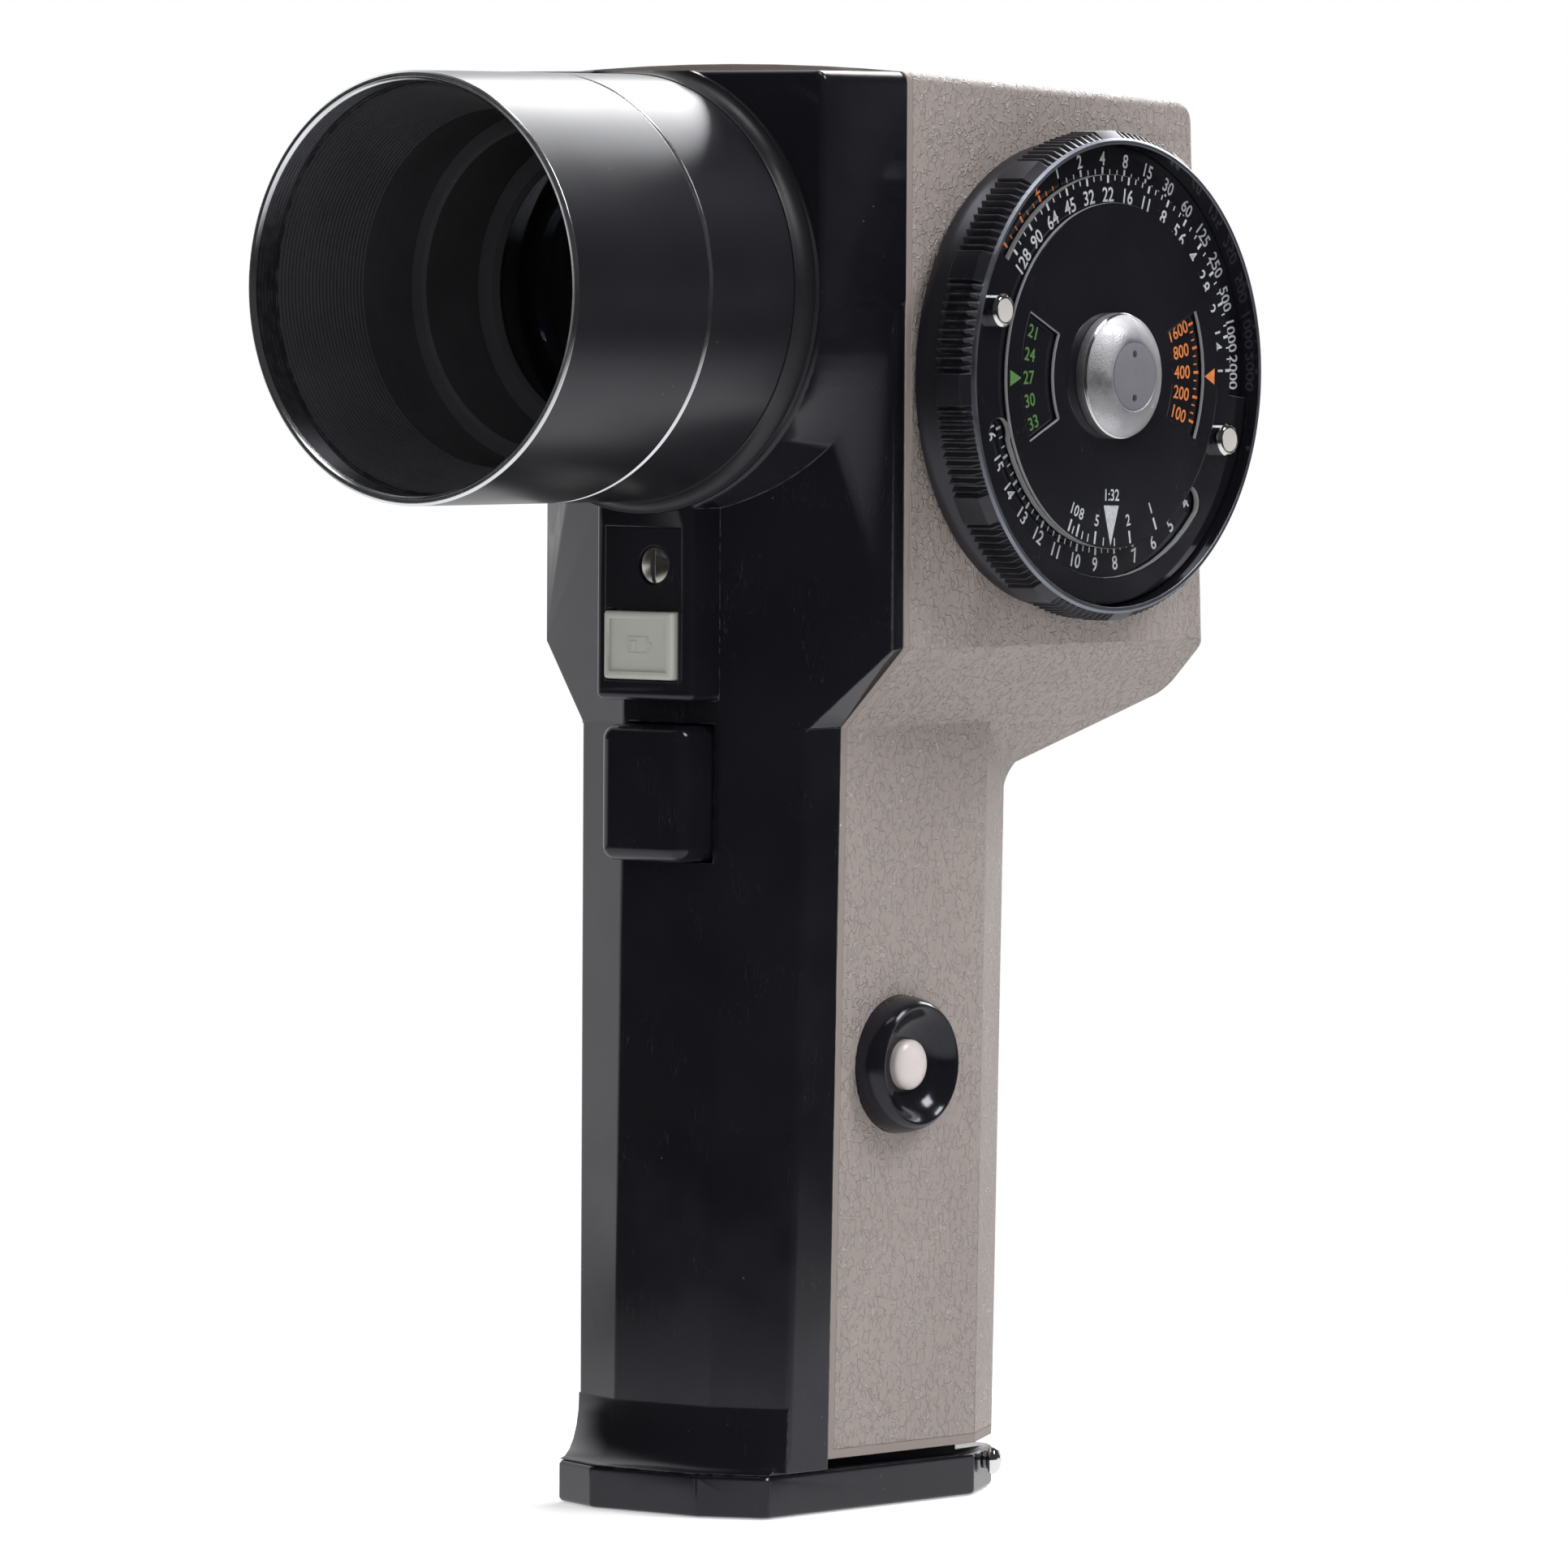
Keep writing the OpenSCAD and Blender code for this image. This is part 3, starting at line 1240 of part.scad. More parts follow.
module case_screws() {
    color("#a9abad") from_seam() for (p = case_screw_at) difference() {
        union() {
            rod_x(case_head_r, [p[2] - case_head_t, p[2]], p[0], p[1]);
            rod_x(screw_r - slip, [p[2] - 0.1, case_thread_end], p[0], p[1]);
        }
        block([p[2] - case_head_t - over, p[2] - case_head_t + 0.7], [p[0] - 0.3, p[0] + 0.3],
            [p[1] - 3, p[1] + 3]);
    }
}

// A small pan-head screw: its head stands on the plane z = 0 and its shank runs down
module small_screw(length) {
    difference() {
        union() {
            cylinder(r = screw_head_r, h = screw_head_t);
            translate([0, 0, -length]) cylinder(r = screw_r - slip, h = length + 0.1);
        }
        translate([-3, -0.25, screw_head_t - 0.5]) cube([6, 0.5, 1]);
    }
}

module small_screws() {
    color("#a9abad") from_seam() {
        barrel_screw_places() translate([0, chassis_back, 0]) rotate([-90, 0, 0]) small_screw(barrel_screw_l);
        for (y = shelf_screw_y) for (s = [-1, 1])
            translate([s * shelf_screw_x, y, shelf_top]) small_screw(shelf_screw_l);
        for (s = [-1, 1])
            translate([s * magnet_screw_x, magnet_screw_y, shelf_top]) small_screw(shelf_screw_l);
        dial_screw_places() translate([flange_floor_x, 0, 0]) rotate([0, 90, 0]) small_screw(plate_screw_l);
        for (p = board_screw_at)
            translate([board_x + board_t, p[0], p[1]]) rotate([0, 90, 0]) small_screw(plate_screw_l);
    }
}

front_casing();
right_cover();
left_cover();
chassis();
front_plate();
zero_screw();
check_button();
check_spring();
trigger();
trigger_spring();
trigger_switch();
lamp_ring();
lamp_button();
lamp_spring();
lamp_switch();
hood_tube();
barrel();
barrel_collar();
baffle();
lens_cell();
front_lens();
rear_lens();
lens_ring();
dial_flange();
dial_shaft();
knurled_ring();
scale_disc();
speed_disc();
grip_pins();
center_plate();
hub_cap();
hub_nut();
spring_washer();
detent_ball();
detent_spring();
eye_tube();
focus_ring();
eyecup();
eye_cell();
eye_lens();
beam_prism();
prism_holder();
reticle();
photocell();
meter_magnet();
meter_coil();
meter_pointer();
meter_bridges();
hair_spring();
meter_scale();
circuit_board();
battery();
battery_holder();
battery_contacts();
base_cap();
tripod_bush();
coin_screw();
strap_lug();
case_screws();
small_screws();
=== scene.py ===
# %% [markdown]
# # A hand-held spot meter
# The construction model gives every piece at its real size. This script keeps all of those places and
# gives the pieces their looks: rounded edges, leather grain, engraved scales, knurling, glass and chrome.
# Sizes below are in millimetres. Y counts from the seam, the plane where the black front casing meets
# the two rear covers, so most numbers read as they would on a workshop drawing.

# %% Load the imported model
import bpy
import bmesh
import cmath
import math
from functools import partial
from mathutils import Matrix, Vector


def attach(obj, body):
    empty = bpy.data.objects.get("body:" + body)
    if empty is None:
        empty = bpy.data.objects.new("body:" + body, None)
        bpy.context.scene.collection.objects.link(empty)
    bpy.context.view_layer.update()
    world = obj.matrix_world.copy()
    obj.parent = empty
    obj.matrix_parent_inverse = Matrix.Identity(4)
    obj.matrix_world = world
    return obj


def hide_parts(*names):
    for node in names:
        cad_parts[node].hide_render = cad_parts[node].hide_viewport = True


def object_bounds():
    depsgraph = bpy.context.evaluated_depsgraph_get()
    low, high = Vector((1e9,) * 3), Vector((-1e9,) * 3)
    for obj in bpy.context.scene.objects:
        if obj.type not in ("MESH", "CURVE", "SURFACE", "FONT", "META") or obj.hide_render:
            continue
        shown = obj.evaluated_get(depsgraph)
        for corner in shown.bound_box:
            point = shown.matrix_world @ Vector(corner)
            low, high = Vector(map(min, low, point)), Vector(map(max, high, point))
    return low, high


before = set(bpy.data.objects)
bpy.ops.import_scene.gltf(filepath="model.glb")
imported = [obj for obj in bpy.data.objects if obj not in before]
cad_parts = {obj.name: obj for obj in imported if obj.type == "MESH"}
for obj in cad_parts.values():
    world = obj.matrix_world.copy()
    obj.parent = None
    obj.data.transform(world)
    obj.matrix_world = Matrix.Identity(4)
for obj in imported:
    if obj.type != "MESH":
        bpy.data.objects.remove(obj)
CAD_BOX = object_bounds()
MM = 0.001
SEAM_Y = -14.0
LENS_Z = 142.4

# %% [markdown]
# ## The camera
# The photograph is taken from far away with a long lens, so that upright edges stay nearly parallel.
# A camera can be placed by a Track To constraint, but a matrix made from the viewing direction and a
# small roll is exact and needs no helper object.

# %% Camera
CAMERA_AT = Vector((0.93015, -1.15082, 0.15038))
CAMERA_TURN = 39.027
CAMERA_TILT = 2.57
CAMERA_ROLL = 0.325
LENS_MM = 288.6


def camera_matrix():
    """The camera's axes: right, up and backwards, turned by the roll."""
    turn, tilt, roll = (math.radians(a) for a in (CAMERA_TURN, CAMERA_TILT, CAMERA_ROLL))
    look = Vector((-math.sin(turn) * math.cos(tilt), math.cos(turn) * math.cos(tilt), -math.sin(tilt)))
    level = Vector((math.cos(turn), math.sin(turn), 0))
    raised = level.cross(look)
    right = math.cos(roll) * level + math.sin(roll) * raised
    up = math.cos(roll) * raised - math.sin(roll) * level
    placed = Matrix((right, up, -look)).transposed().to_4x4()
    placed.translation = CAMERA_AT
    return placed


camera = bpy.data.objects.new("camera", bpy.data.cameras.new("camera"))
bpy.context.scene.collection.objects.link(camera)
camera.matrix_world = camera_matrix()
camera.data.sensor_width = 36
camera.data.lens = LENS_MM
camera.data.clip_end = 30
bpy.context.scene.camera = camera
print("camera looks at", tuple(round(v, 3) for v in camera.matrix_world.col[2][:3]))

# %% [markdown]
# ## Short calls that add shader nodes
# A finish is a Principled shader with patterns on its colour, its roughness and its relief. Nodes can be
# placed by hand in the shader editor. Here a small class adds them, so that each finish further down
# reads as a list of what the real surface shows. All patterns sit in the object's own metres, so a
# noise scale of 1000 gives marks about a millimetre wide. Values that are the same all over the surface
# stay on the shader's own sockets.


# %% One call for every kind of node
def add_node(tree, kind, inputs, **settings):
    """Adds a node. An input is a plain value, or another node's output."""
    made = tree.nodes.new(kind)
    for key, value in settings.items():
        setattr(made, key, value)
    for key, value in inputs.items():
        if isinstance(value, bpy.types.NodeSocket):
            tree.links.new(value, made.inputs[key])
        else:
            made.inputs[key].default_value = value
    return made


# %% A finish under construction
class Finish:
    """A material under construction. Each call lays one more thing on the surface."""

    def __init__(self, name, colour, rough, metal=0.0):
        self.material = bpy.data.materials.new(name)
        self.material.use_nodes = True
        self.tree = self.material.node_tree
        self.shader = next(n for n in self.tree.nodes if n.type == "BSDF_PRINCIPLED")
        self.shader.inputs["Metallic"].default_value = metal
        self.shader.inputs["Base Color"].default_value = (*colour, 1)
        self.shader.inputs["Roughness"].default_value = rough
        self.colour = (*colour, 1)
        self.rough = rough
        self.relief = []
        self.place = self.node("ShaderNodeTexCoord", {}).outputs["Object"]

    def node(self, kind, inputs, **settings):
        return add_node(self.tree, kind, inputs, **settings)

    def set(self, **values):
        """Sets plain values on the shader's own sockets."""
        for key, value in values.items():
            self.shader.inputs[key.replace("_", " ")].default_value = value
        return self

    def stretched(self, scale):
        """The object's coordinates, stretched by a factor along each axis."""
        return self.node("ShaderNodeMapping", {"Vector": self.place, "Scale": scale}).outputs[0]

    def noise(self, scale, detail=2.0, rough=0.5, vector=None):
        """Soft random values round a half. The scale is the number of lumps per metre."""
        inputs = {"Vector": vector or self.place, "Scale": scale, "Detail": detail, "Roughness": rough}
        return self.node("ShaderNodeTexNoise", inputs).outputs["Fac"]

    def cells(self, scale, feature="F1", vector=None):
        """Distances inside random cells: from each cell's middle, or from its border."""
        inputs = {"Vector": vector or self.place, "Scale": scale}
        return self.node("ShaderNodeTexVoronoi", inputs, feature=feature).outputs["Distance"]

    def ramp(self, value, low, high, out_low=0.0, out_high=1.0):
        """Maps a range of values to another one, with soft ends."""
        inputs = {"Value": value, "From Min": low, "From Max": high, "To Min": out_low, "To Max": out_high}
        return self.node("ShaderNodeMapRange", inputs, interpolation_type="SMOOTHSTEP").outputs["Result"]

    def math(self, operation, a, b=0.0):
        return self.node("ShaderNodeMath", {0: a, 1: b}, operation=operation).outputs[0]

    def axis(self, letter):
        """One coordinate of the object's place, in metres."""
        return self.node("ShaderNodeSeparateXYZ", {0: self.place}).outputs[letter]

    def tint(self, mask, colour):
        """Lays another colour where the mask is white."""
        mix = self.node("ShaderNodeMix", {0: mask, 6: self.colour, 7: (*colour, 1)}, data_type="RGBA")
        self.colour = mix.outputs[2]
        return self

    def mottle(self, scale, spread):
        """Makes the colour a little lighter and darker from place to place."""
        shade = self.ramp(self.noise(scale, 3.0), 0.3, 0.7, 1 - spread, 1 + spread)
        self.colour = self.node("ShaderNodeHueSaturation", {"Color": self.colour, "Value": shade}).outputs[0]
        return self

    def smudge(self, scale, low, high):
        """Lets the roughness wander between two values, as handling leaves it."""
        self.rough = self.ramp(self.noise(scale, 4.0, 0.6), 0.3, 0.7, low, high)
        return self

    def emboss(self, height, amount):
        """Adds a relief whose full height is given in millimetres."""
        self.relief.append(self.math("MULTIPLY", height, amount * MM))
        return self

    def bumps(self, scale, amount, detail=2.0):
        """A relief of soft lumps, so many to the metre."""
        return self.emboss(self.noise(scale, detail), amount)

    def turned_lines(self, letter, pitch, amount):
        """Fine tool marks round a turned piece: a noise that changes along its axis alone."""
        squeeze = [(1.0 if letter == axis else 0.0) for axis in "XYZ"]
        return self.emboss(self.noise(1 / (pitch * MM), 1.0, vector=self.stretched(squeeze)), amount)

    def scratches(self, scale, direction, amount, strength):
        """A few long thin scratches that are lighter and duller than the rest."""
        lines = self.noise(scale, 1.0, vector=self.stretched(direction))
        thin = self.ramp(self.math("ABSOLUTE", self.math("SUBTRACT", lines, 0.5)), 0.0, 0.006, 1.0, 0.0)
        patch = self.ramp(self.noise(scale * 0.12, 1.0), 0.56, 0.62)
        mask = self.math("MULTIPLY", thin, patch)
        self.emboss(mask, -amount)
        return self.tint(self.math("MULTIPLY", mask, strength), (0.16, 0.16, 0.165))

    def dust(self, scale, size, colour):
        """Specks of dust, each in a cell of its own, in some patches more than in others."""
        speck = self.ramp(self.cells(scale), size * 0.6, size, 1.0, 0.0)
        some = self.ramp(self.noise(scale * 0.23, 2.0), 0.53, 0.6)
        return self.tint(self.math("MULTIPLY", speck, some), colour)

    def rub(self, radius, colour, amount):
        """Lightens the colour along the edges, unevenly: partly wear, partly a painted edge highlight."""
        bent = self.node("ShaderNodeBevel", {"Radius": radius * MM}, samples=4).outputs[0]
        flat = self.node("ShaderNodeNewGeometry", {}).outputs["Normal"]
        bend = self.node("ShaderNodeVectorMath", {0: bent, 1: flat}, operation="DOT_PRODUCT").outputs["Value"]
        edge = self.ramp(bend, 0.8, 0.98, amount, 0.0)
        uneven = self.ramp(self.noise(700, 3.0), 0.42, 0.6)
        return self.tint(self.math("MULTIPLY", edge, uneven), colour)

    def done(self, edge=0.0):
        """Connects what the calls have gathered, and returns the material. With an edge radius in
        millimetres, sharp edges catch the light as if they were rounded."""
        link = self.tree.links.new
        for value, socket in ((self.colour, "Base Color"), (self.rough, "Roughness")):
            if isinstance(value, bpy.types.NodeSocket):
                link(value, self.shader.inputs[socket])
        normal = None
        if edge:
            normal = self.node("ShaderNodeBevel", {"Radius": edge * MM}, samples=4).outputs[0]
        if self.relief:
            height = self.relief[0]
            for more in self.relief[1:]:
                height = self.math("ADD", height, more)
            bump = self.node("ShaderNodeBump", {"Height": height, "Distance": 1.0, "Strength": 1.0})
            if normal:
                link(normal, bump.inputs["Normal"])
            normal = bump.outputs[0]
        if normal:
            link(normal, self.shader.inputs["Normal"])
        return self.material


def linear(*screen):
    """A colour read from a screen, 0 to 255, as the linear values that a shader wants."""
    return tuple(((c / 255 + 0.055) / 1.055) ** 2.4 if c > 10 else c / 255 / 12.92 for c in screen)


print("finish helpers are ready")

# %% [markdown]
# ## The finishes
# The front casing is a glossy black moulding that shows fine scratches and specks of dust. The covers
# are warm grey plastic with a moulded leather grain: raised, wandering lines about a millimetre apart.
# A photograph of leather could be used as an image, but patterns in the object's own metres never repeat
# and have no seams. The borders of random cells, bent by one noise and interrupted by another, give just
# such short lines, and all of them are equally wide.


# %% Moulded plastics
def gloss_black(name, rough=(0.1, 0.2), edge_wear_and_shine=0.0):
    made = Finish(name, (0.0078, 0.0078, 0.0105), 0.14)
    made.set(Specular_Tint=(0.9, 0.9, 1.0, 1))
    made.mottle(60, 0.15).smudge(90, *rough)
    made.scratches(1300, (1.0, 1.0, 0.2), 0.001, 0.12).dust(420, 0.05, (0.09, 0.09, 0.09))
    made.bumps(120, 0.003).bumps(2500, 0.0003)
    # Lighter edges: a painted edge highlight as well as wear.
    if edge_wear_and_shine:
        made.rub(0.22, (0.22, 0.22, 0.24), edge_wear_and_shine)
    return made.done(0.3)


GRAIN_STRIP = 1.1
COVER_FOOT_Z = 6.2
GRAIN_BEND = (0.0014, 0.0014, 0.0014)


def leather_grain(name):
    """Warm grey plastic with raised, wandering lines, and a smooth strip along its seam and foot."""
    made = Finish(name, linear(156, 146, 142), 0.46)
    bend = made.node("ShaderNodeTexNoise", {"Vector": made.place, "Scale": 900.0, "Detail": 1.5})
    bent = made.node("ShaderNodeVectorMath", {0: bend.outputs["Color"], 1: GRAIN_BEND,
                                              2: made.stretched((1.0, 1.0, 0.7))}, operation="MULTIPLY_ADD")
    worm = made.ramp(made.cells(980, "DISTANCE_TO_EDGE", bent.outputs[0]), 0.0, 0.1, 1.0, 0.0)
    broken = made.ramp(made.noise(760, 1.0), 0.4, 0.48)
    pores = made.ramp(made.cells(1500, "F1", bent.outputs[0]), 0.1, 0.7, 1.0, 0.0)
    from_seam = made.math("SUBTRACT", made.axis("Y"), SEAM_Y * MM)
    from_foot = made.math("SUBTRACT", made.axis("Z"), COVER_FOOT_Z * MM)
    inside = made.math("MINIMUM", from_seam, from_foot)
    strip = GRAIN_STRIP * MM
    soft = 0.1 * MM
    grained = made.ramp(inside, strip - soft, strip + soft)
    worm = made.math("MULTIPLY", made.math("MULTIPLY", worm, broken), grained)
    made.mottle(45, 0.04)
    made.tint(made.ramp(inside, strip - soft, strip, 0.6, 0.0), linear(136, 126, 121))
    # The raised lines are painted lighter as well: a painted highlight on their tops.
    made.tint(made.math("MULTIPLY", worm, 0.42), linear(192, 184, 182))
    made.dust(300, 0.05, linear(205, 200, 196))
    made.emboss(worm, 0.14)
    made.emboss(made.math("MULTIPLY", made.noise(420, 2.0), grained), 0.12)
    made.emboss(made.math("MULTIPLY", pores, grained), 0.045)
    made.emboss(grained, 0.08).bumps(5000, 0.002, 1.0)
    made.rough = made.ramp(worm, 0.0, 1.0, 0.5, 0.32)
    # Lighter edges: a painted edge highlight as well as wear.
    made.rub(0.5, linear(178, 170, 165), 0.5)
    return made.done(0.35)


def satin_plastic(name, colour, rough, grain=0.004):
    made = Finish(name, colour, rough)
    made.mottle(80, 0.06).smudge(110, rough * 0.8, min(1.0, rough * 1.2))
    made.bumps(3500, grain).bumps(200, 0.003)
    return made.done(0.2)


CASING_BLACK = gloss_black("casing gloss black", edge_wear_and_shine=0.5)
TRIGGER_BLACK = gloss_black("trigger gloss black", (0.08, 0.16))
DIAL_BLACK = gloss_black("dial gloss black", (0.06, 0.12))
COVER_GREY = leather_grain("cover grey leather grain")
PANEL_BLACK = gloss_black("panel black", (0.14, 0.22))
INNER_BLACK = satin_plastic("inner black plastic", (0.02, 0.02, 0.022), 0.5, 0.01)
BUTTON_GREY = satin_plastic("button pale grey", linear(180, 180, 174), 0.38)
IVORY = satin_plastic("lamp button ivory", linear(216, 206, 206), 0.25, 0.001)
CREAM = satin_plastic("meter scale cream", linear(232, 226, 205), 0.5)
SWITCH_GREY = satin_plastic("switch grey", linear(70, 70, 74), 0.5)
print("plastics:", len(bpy.data.materials))

# %% [markdown]
# The metals differ mostly in how they were worked. A turned piece carries rings, so its relief changes
# along the axis alone. Bead blasting leaves a fine sparkle, which is a very fine noise in the relief.
# Anodising is a thin dark skin: bare metal shows where edges have rubbed.


# %% Metals, glass, rubber and print
def metal(name, colour, rough, axis=None, pitch=0.05, lines=0.0012, grain=0.0):
    made = Finish(name, colour, rough, 1.0)
    made.mottle(150, 0.05).smudge(260, rough * 0.8, rough * 1.25)
    if axis:
        made.turned_lines(axis, pitch, lines)
    if grain:
        made.emboss(made.noise(7000, 2.0, 0.7), grain)
        made.emboss(made.cells(4200), grain * 1.5)
    return made.done(0.12)


def anodised(name, axis, rough=0.3, lines=0.0008):
    made = Finish(name, (0.0105, 0.0105, 0.0135), rough)
    made.set(Specular_IOR_Level=0.68, Specular_Tint=(0.89, 0.89, 1.0, 1))
    made.mottle(90, 0.08).smudge(60, rough * 0.94, rough * 1.08)
    made.turned_lines(axis, 0.12, lines).bumps(6000, 0.0012)
    made.dust(520, 0.05, (0.16, 0.16, 0.16))
    made.rub(0.16, (0.3, 0.3, 0.31), 0.35)
    return made.done(0.14)


def glass(name, tint):
    made = Finish(name, tint, 0.0)
    made.set(Transmission_Weight=1.0, IOR=1.5)
    return made.smudge(160, 0.0, 0.02).done()


def rubber(name):
    made = Finish(name, (0.016, 0.016, 0.017), 0.7)
    made.mottle(130, 0.2).smudge(200, 0.6, 0.85)
    made.bumps(1800, 0.012, 3.0).dust(380, 0.07, (0.1, 0.1, 0.1))
    return made.done(0.3)


def matt_black(name):
    """The dull black paint that keeps stray light down inside a lens tube."""
    made = Finish(name, (0.034, 0.034, 0.038), 0.7)
    made.mottle(120, 0.1).smudge(160, 0.62, 0.8)
    made.bumps(4200, 0.004).dust(520, 0.05, (0.1, 0.1, 0.1))
    return made.done(0.05)


def print_ink(name, colour):
    made = Finish(name, colour, 0.55)
    made.mottle(2600, 0.14).smudge(900, 0.45, 0.65)
    return made.bumps(6000, 0.002).done()


LENS_BLACK = anodised("barrel satin black", "Y")
COLLAR_BLACK = satin_plastic("collar satin black", (0.0105, 0.0105, 0.0135), 0.42, 0.002)
DIAL_SATIN = anodised("dial flange satin black", "X", 0.34)
KNURL_BLACK = anodised("knurl black", "X", 0.3, 0.0004)
BAFFLE_BLACK = matt_black("baffle matt black")
BARE_RIM = metal("bare turned rim", (0.86, 0.87, 0.9), 0.2, "Y")
BARE_LIP = metal("bare dial lip", (0.28, 0.29, 0.34), 0.42, "X")
BLASTED = metal("blasted aluminium", (0.66, 0.66, 0.69), 0.55, grain=0.012)
MATT_INSERT = satin_plastic("matt grey insert", linear(112, 111, 119), 0.55, 0.003)
BRIGHT_LINE = metal("bright ring line", (0.92, 0.92, 0.93), 0.12)
CHROME = metal("chrome", (0.88, 0.88, 0.89), 0.07)
# Light grey satin on the chrome pins' faces: a painted reflection of bright light.
PIN_FACE = satin_plastic("pin face", linear(186, 182, 178), 0.4, 0.002)
NICKEL = metal("nickel", (0.66, 0.64, 0.6), 0.2, grain=0.001)
STEEL = metal("plain steel", (0.5, 0.5, 0.51), 0.32, grain=0.003)
SPRING_STEEL = metal("spring steel", (0.45, 0.45, 0.46), 0.25, grain=0.001)
TURNED_ALU = metal("turned aluminium", (0.72, 0.73, 0.74), 0.3, "Y", 0.08, 0.002)
CAST_ALU = metal("machined aluminium", (0.62, 0.63, 0.64), 0.38, grain=0.006)
BRASS = metal("brass", (0.72, 0.5, 0.2), 0.28, "Z", 0.07)
COPPER = metal("copper wire", (0.72, 0.29, 0.13), 0.35, "X", 0.12, 0.02)
MAGNET = metal("magnet iron", (0.2, 0.2, 0.21), 0.45, grain=0.01)
LENS_GLASS = glass("coated lens glass", (0.85, 0.88, 0.97))
PRISM_GLASS = glass("prism glass", (0.93, 0.96, 0.97))
RUBBER = rubber("eyecup rubber")
PRINT_GREY = print_ink("print light grey", linear(178, 180, 186))
PRINT_GREEN = print_ink("print green", linear(78, 120, 62))
PRINT_ORANGE = print_ink("print orange", linear(206, 118, 56))
# Light grey for the walls of the disc windows: a painted highlight on their cut edges.
CUT_EDGE_HIGHLIGHT = satin_plastic("disc edge painted highlight", linear(150, 150, 152), 0.45, 0.02)
NEEDLE_PAINT = print_ink("needle paint", (0.02, 0.02, 0.02))
print("finishes:", len(bpy.data.materials))


# %% [markdown]
# The circuit board is green lacquer over copper tracks, which show as slightly raised, paler lines, and
# the battery has a printed jacket with one plain colour band.


# %% Board and battery
def board_lacquer(name):
    made = Finish(name, (0.015, 0.11, 0.035), 0.3)
    tracks = made.noise(260, 0.0, vector=made.stretched((0.0, 1.0, 1.0)))
    line = made.ramp(made.math("ABSOLUTE", made.math("SUBTRACT", tracks, 0.5)), 0.015, 0.03, 1.0, 0.0)
    made.tint(made.math("MULTIPLY", line, 0.7), (0.06, 0.22, 0.06)).emboss(line, 0.03)
    return made.mottle(90, 0.1).done()


def battery_jacket(name):
    made = Finish(name, (0.03, 0.03, 0.035), 0.25, 0.2)
    band = made.ramp(made.axis("Z"), 24 * MM, 24.2 * MM)
    made.tint(band, (0.45, 0.25, 0.08))
    return made.mottle(70, 0.08).bumps(900, 0.004).done()


BOARD = board_lacquer("circuit board lacquer")
BATTERY = battery_jacket("battery jacket")
print("finishes in all:", len(bpy.data.materials))

# %% [markdown]
# ## From outlines to meshes
# Nearly every piece of the meter is turned on a lathe, cut from plate, or moulded with rounded edges.
# Blender has Screw, Bevel and Solidify modifiers for these. An outline in code with its corners swapped
# for small arcs gives the same result with full control of where each arc lies, and every small edge
# then catches the light as a machined edge does.


# %% Outlines
def rounded(points, radius, steps=4, least=18):
    """Swaps each sharp corner of a closed outline for an arc. The radius may be one value or a list."""
    out = []
    count = len(points)
    for i, point in enumerate(points):
        here = complex(*point)
        back = complex(*points[i - 1]) - here
        ahead = complex(*points[(i + 1) % count]) - here
        size = radius[i] if isinstance(radius, (list, tuple)) else radius
        turn = math.pi - abs(cmath.phase(ahead / back)) if abs(back) * abs(ahead) > 1e-12 else 0.0
        if size <= 0 or turn < math.radians(least):
            out.append(tuple(point))
            continue
        cut = min(size * math.tan(turn / 2), 0.48 * abs(back), 0.48 * abs(ahead))
        size = cut / math.tan(turn / 2)
        start = here + back / abs(back) * cut
        end = here + ahead / abs(ahead) * cut
        middle = back / abs(back) + ahead / abs(ahead)
        centre = here + middle / abs(middle) * size / math.cos(turn / 2)
        sweep = cmath.phase((end - centre) / (start - centre))
        for k in range(steps + 1):
            spot = centre + (start - centre) * cmath.exp(1j * sweep * k / steps)
            out.append((spot.real, spot.imag))
    return out


def arc(centre, radius, first, last, steps):
    """Points along an arc, with angles in degrees."""
    angles = [math.radians(first + (last - first) * k / steps) for k in range(steps + 1)]
    return [(centre[0] + radius * math.cos(a), centre[1] + radius * math.sin(a)) for a in angles]


def moved(outline, by):
    """A lathe outline moved along its axis."""
    return [(r, s + by) for r, s in outline]


def thread(radius, low, high, pitch, depth):
    """The saw-tooth outline of a thread's wall, from low to high along the axis."""
    turns = max(1, round((high - low) / pitch))
    step = (high - low) / turns
    out = []
    for k in range(turns):
        out += [(radius, low + step * k), (radius + depth, low + step * (k + 0.5))]
    return out + [(radius, high)]


print("a square corner becomes", len(rounded([(0, 0), (1, 0), (1, 1), (0, 1)], 0.1)), "points")


# %% Meshes
def as_mesh(bm, name):
    """Cleans a mesh under construction, turns its faces outwards and hands it over in metres."""
    bmesh.ops.remove_doubles(bm, verts=bm.verts, dist=1e-4)
    bmesh.ops.recalc_face_normals(bm, faces=bm.faces)
    bmesh.ops.scale(bm, vec=(MM, MM, MM), verts=bm.verts)
    mesh = bpy.data.meshes.new(name)
    bm.to_mesh(mesh)
    bm.free()
    return mesh


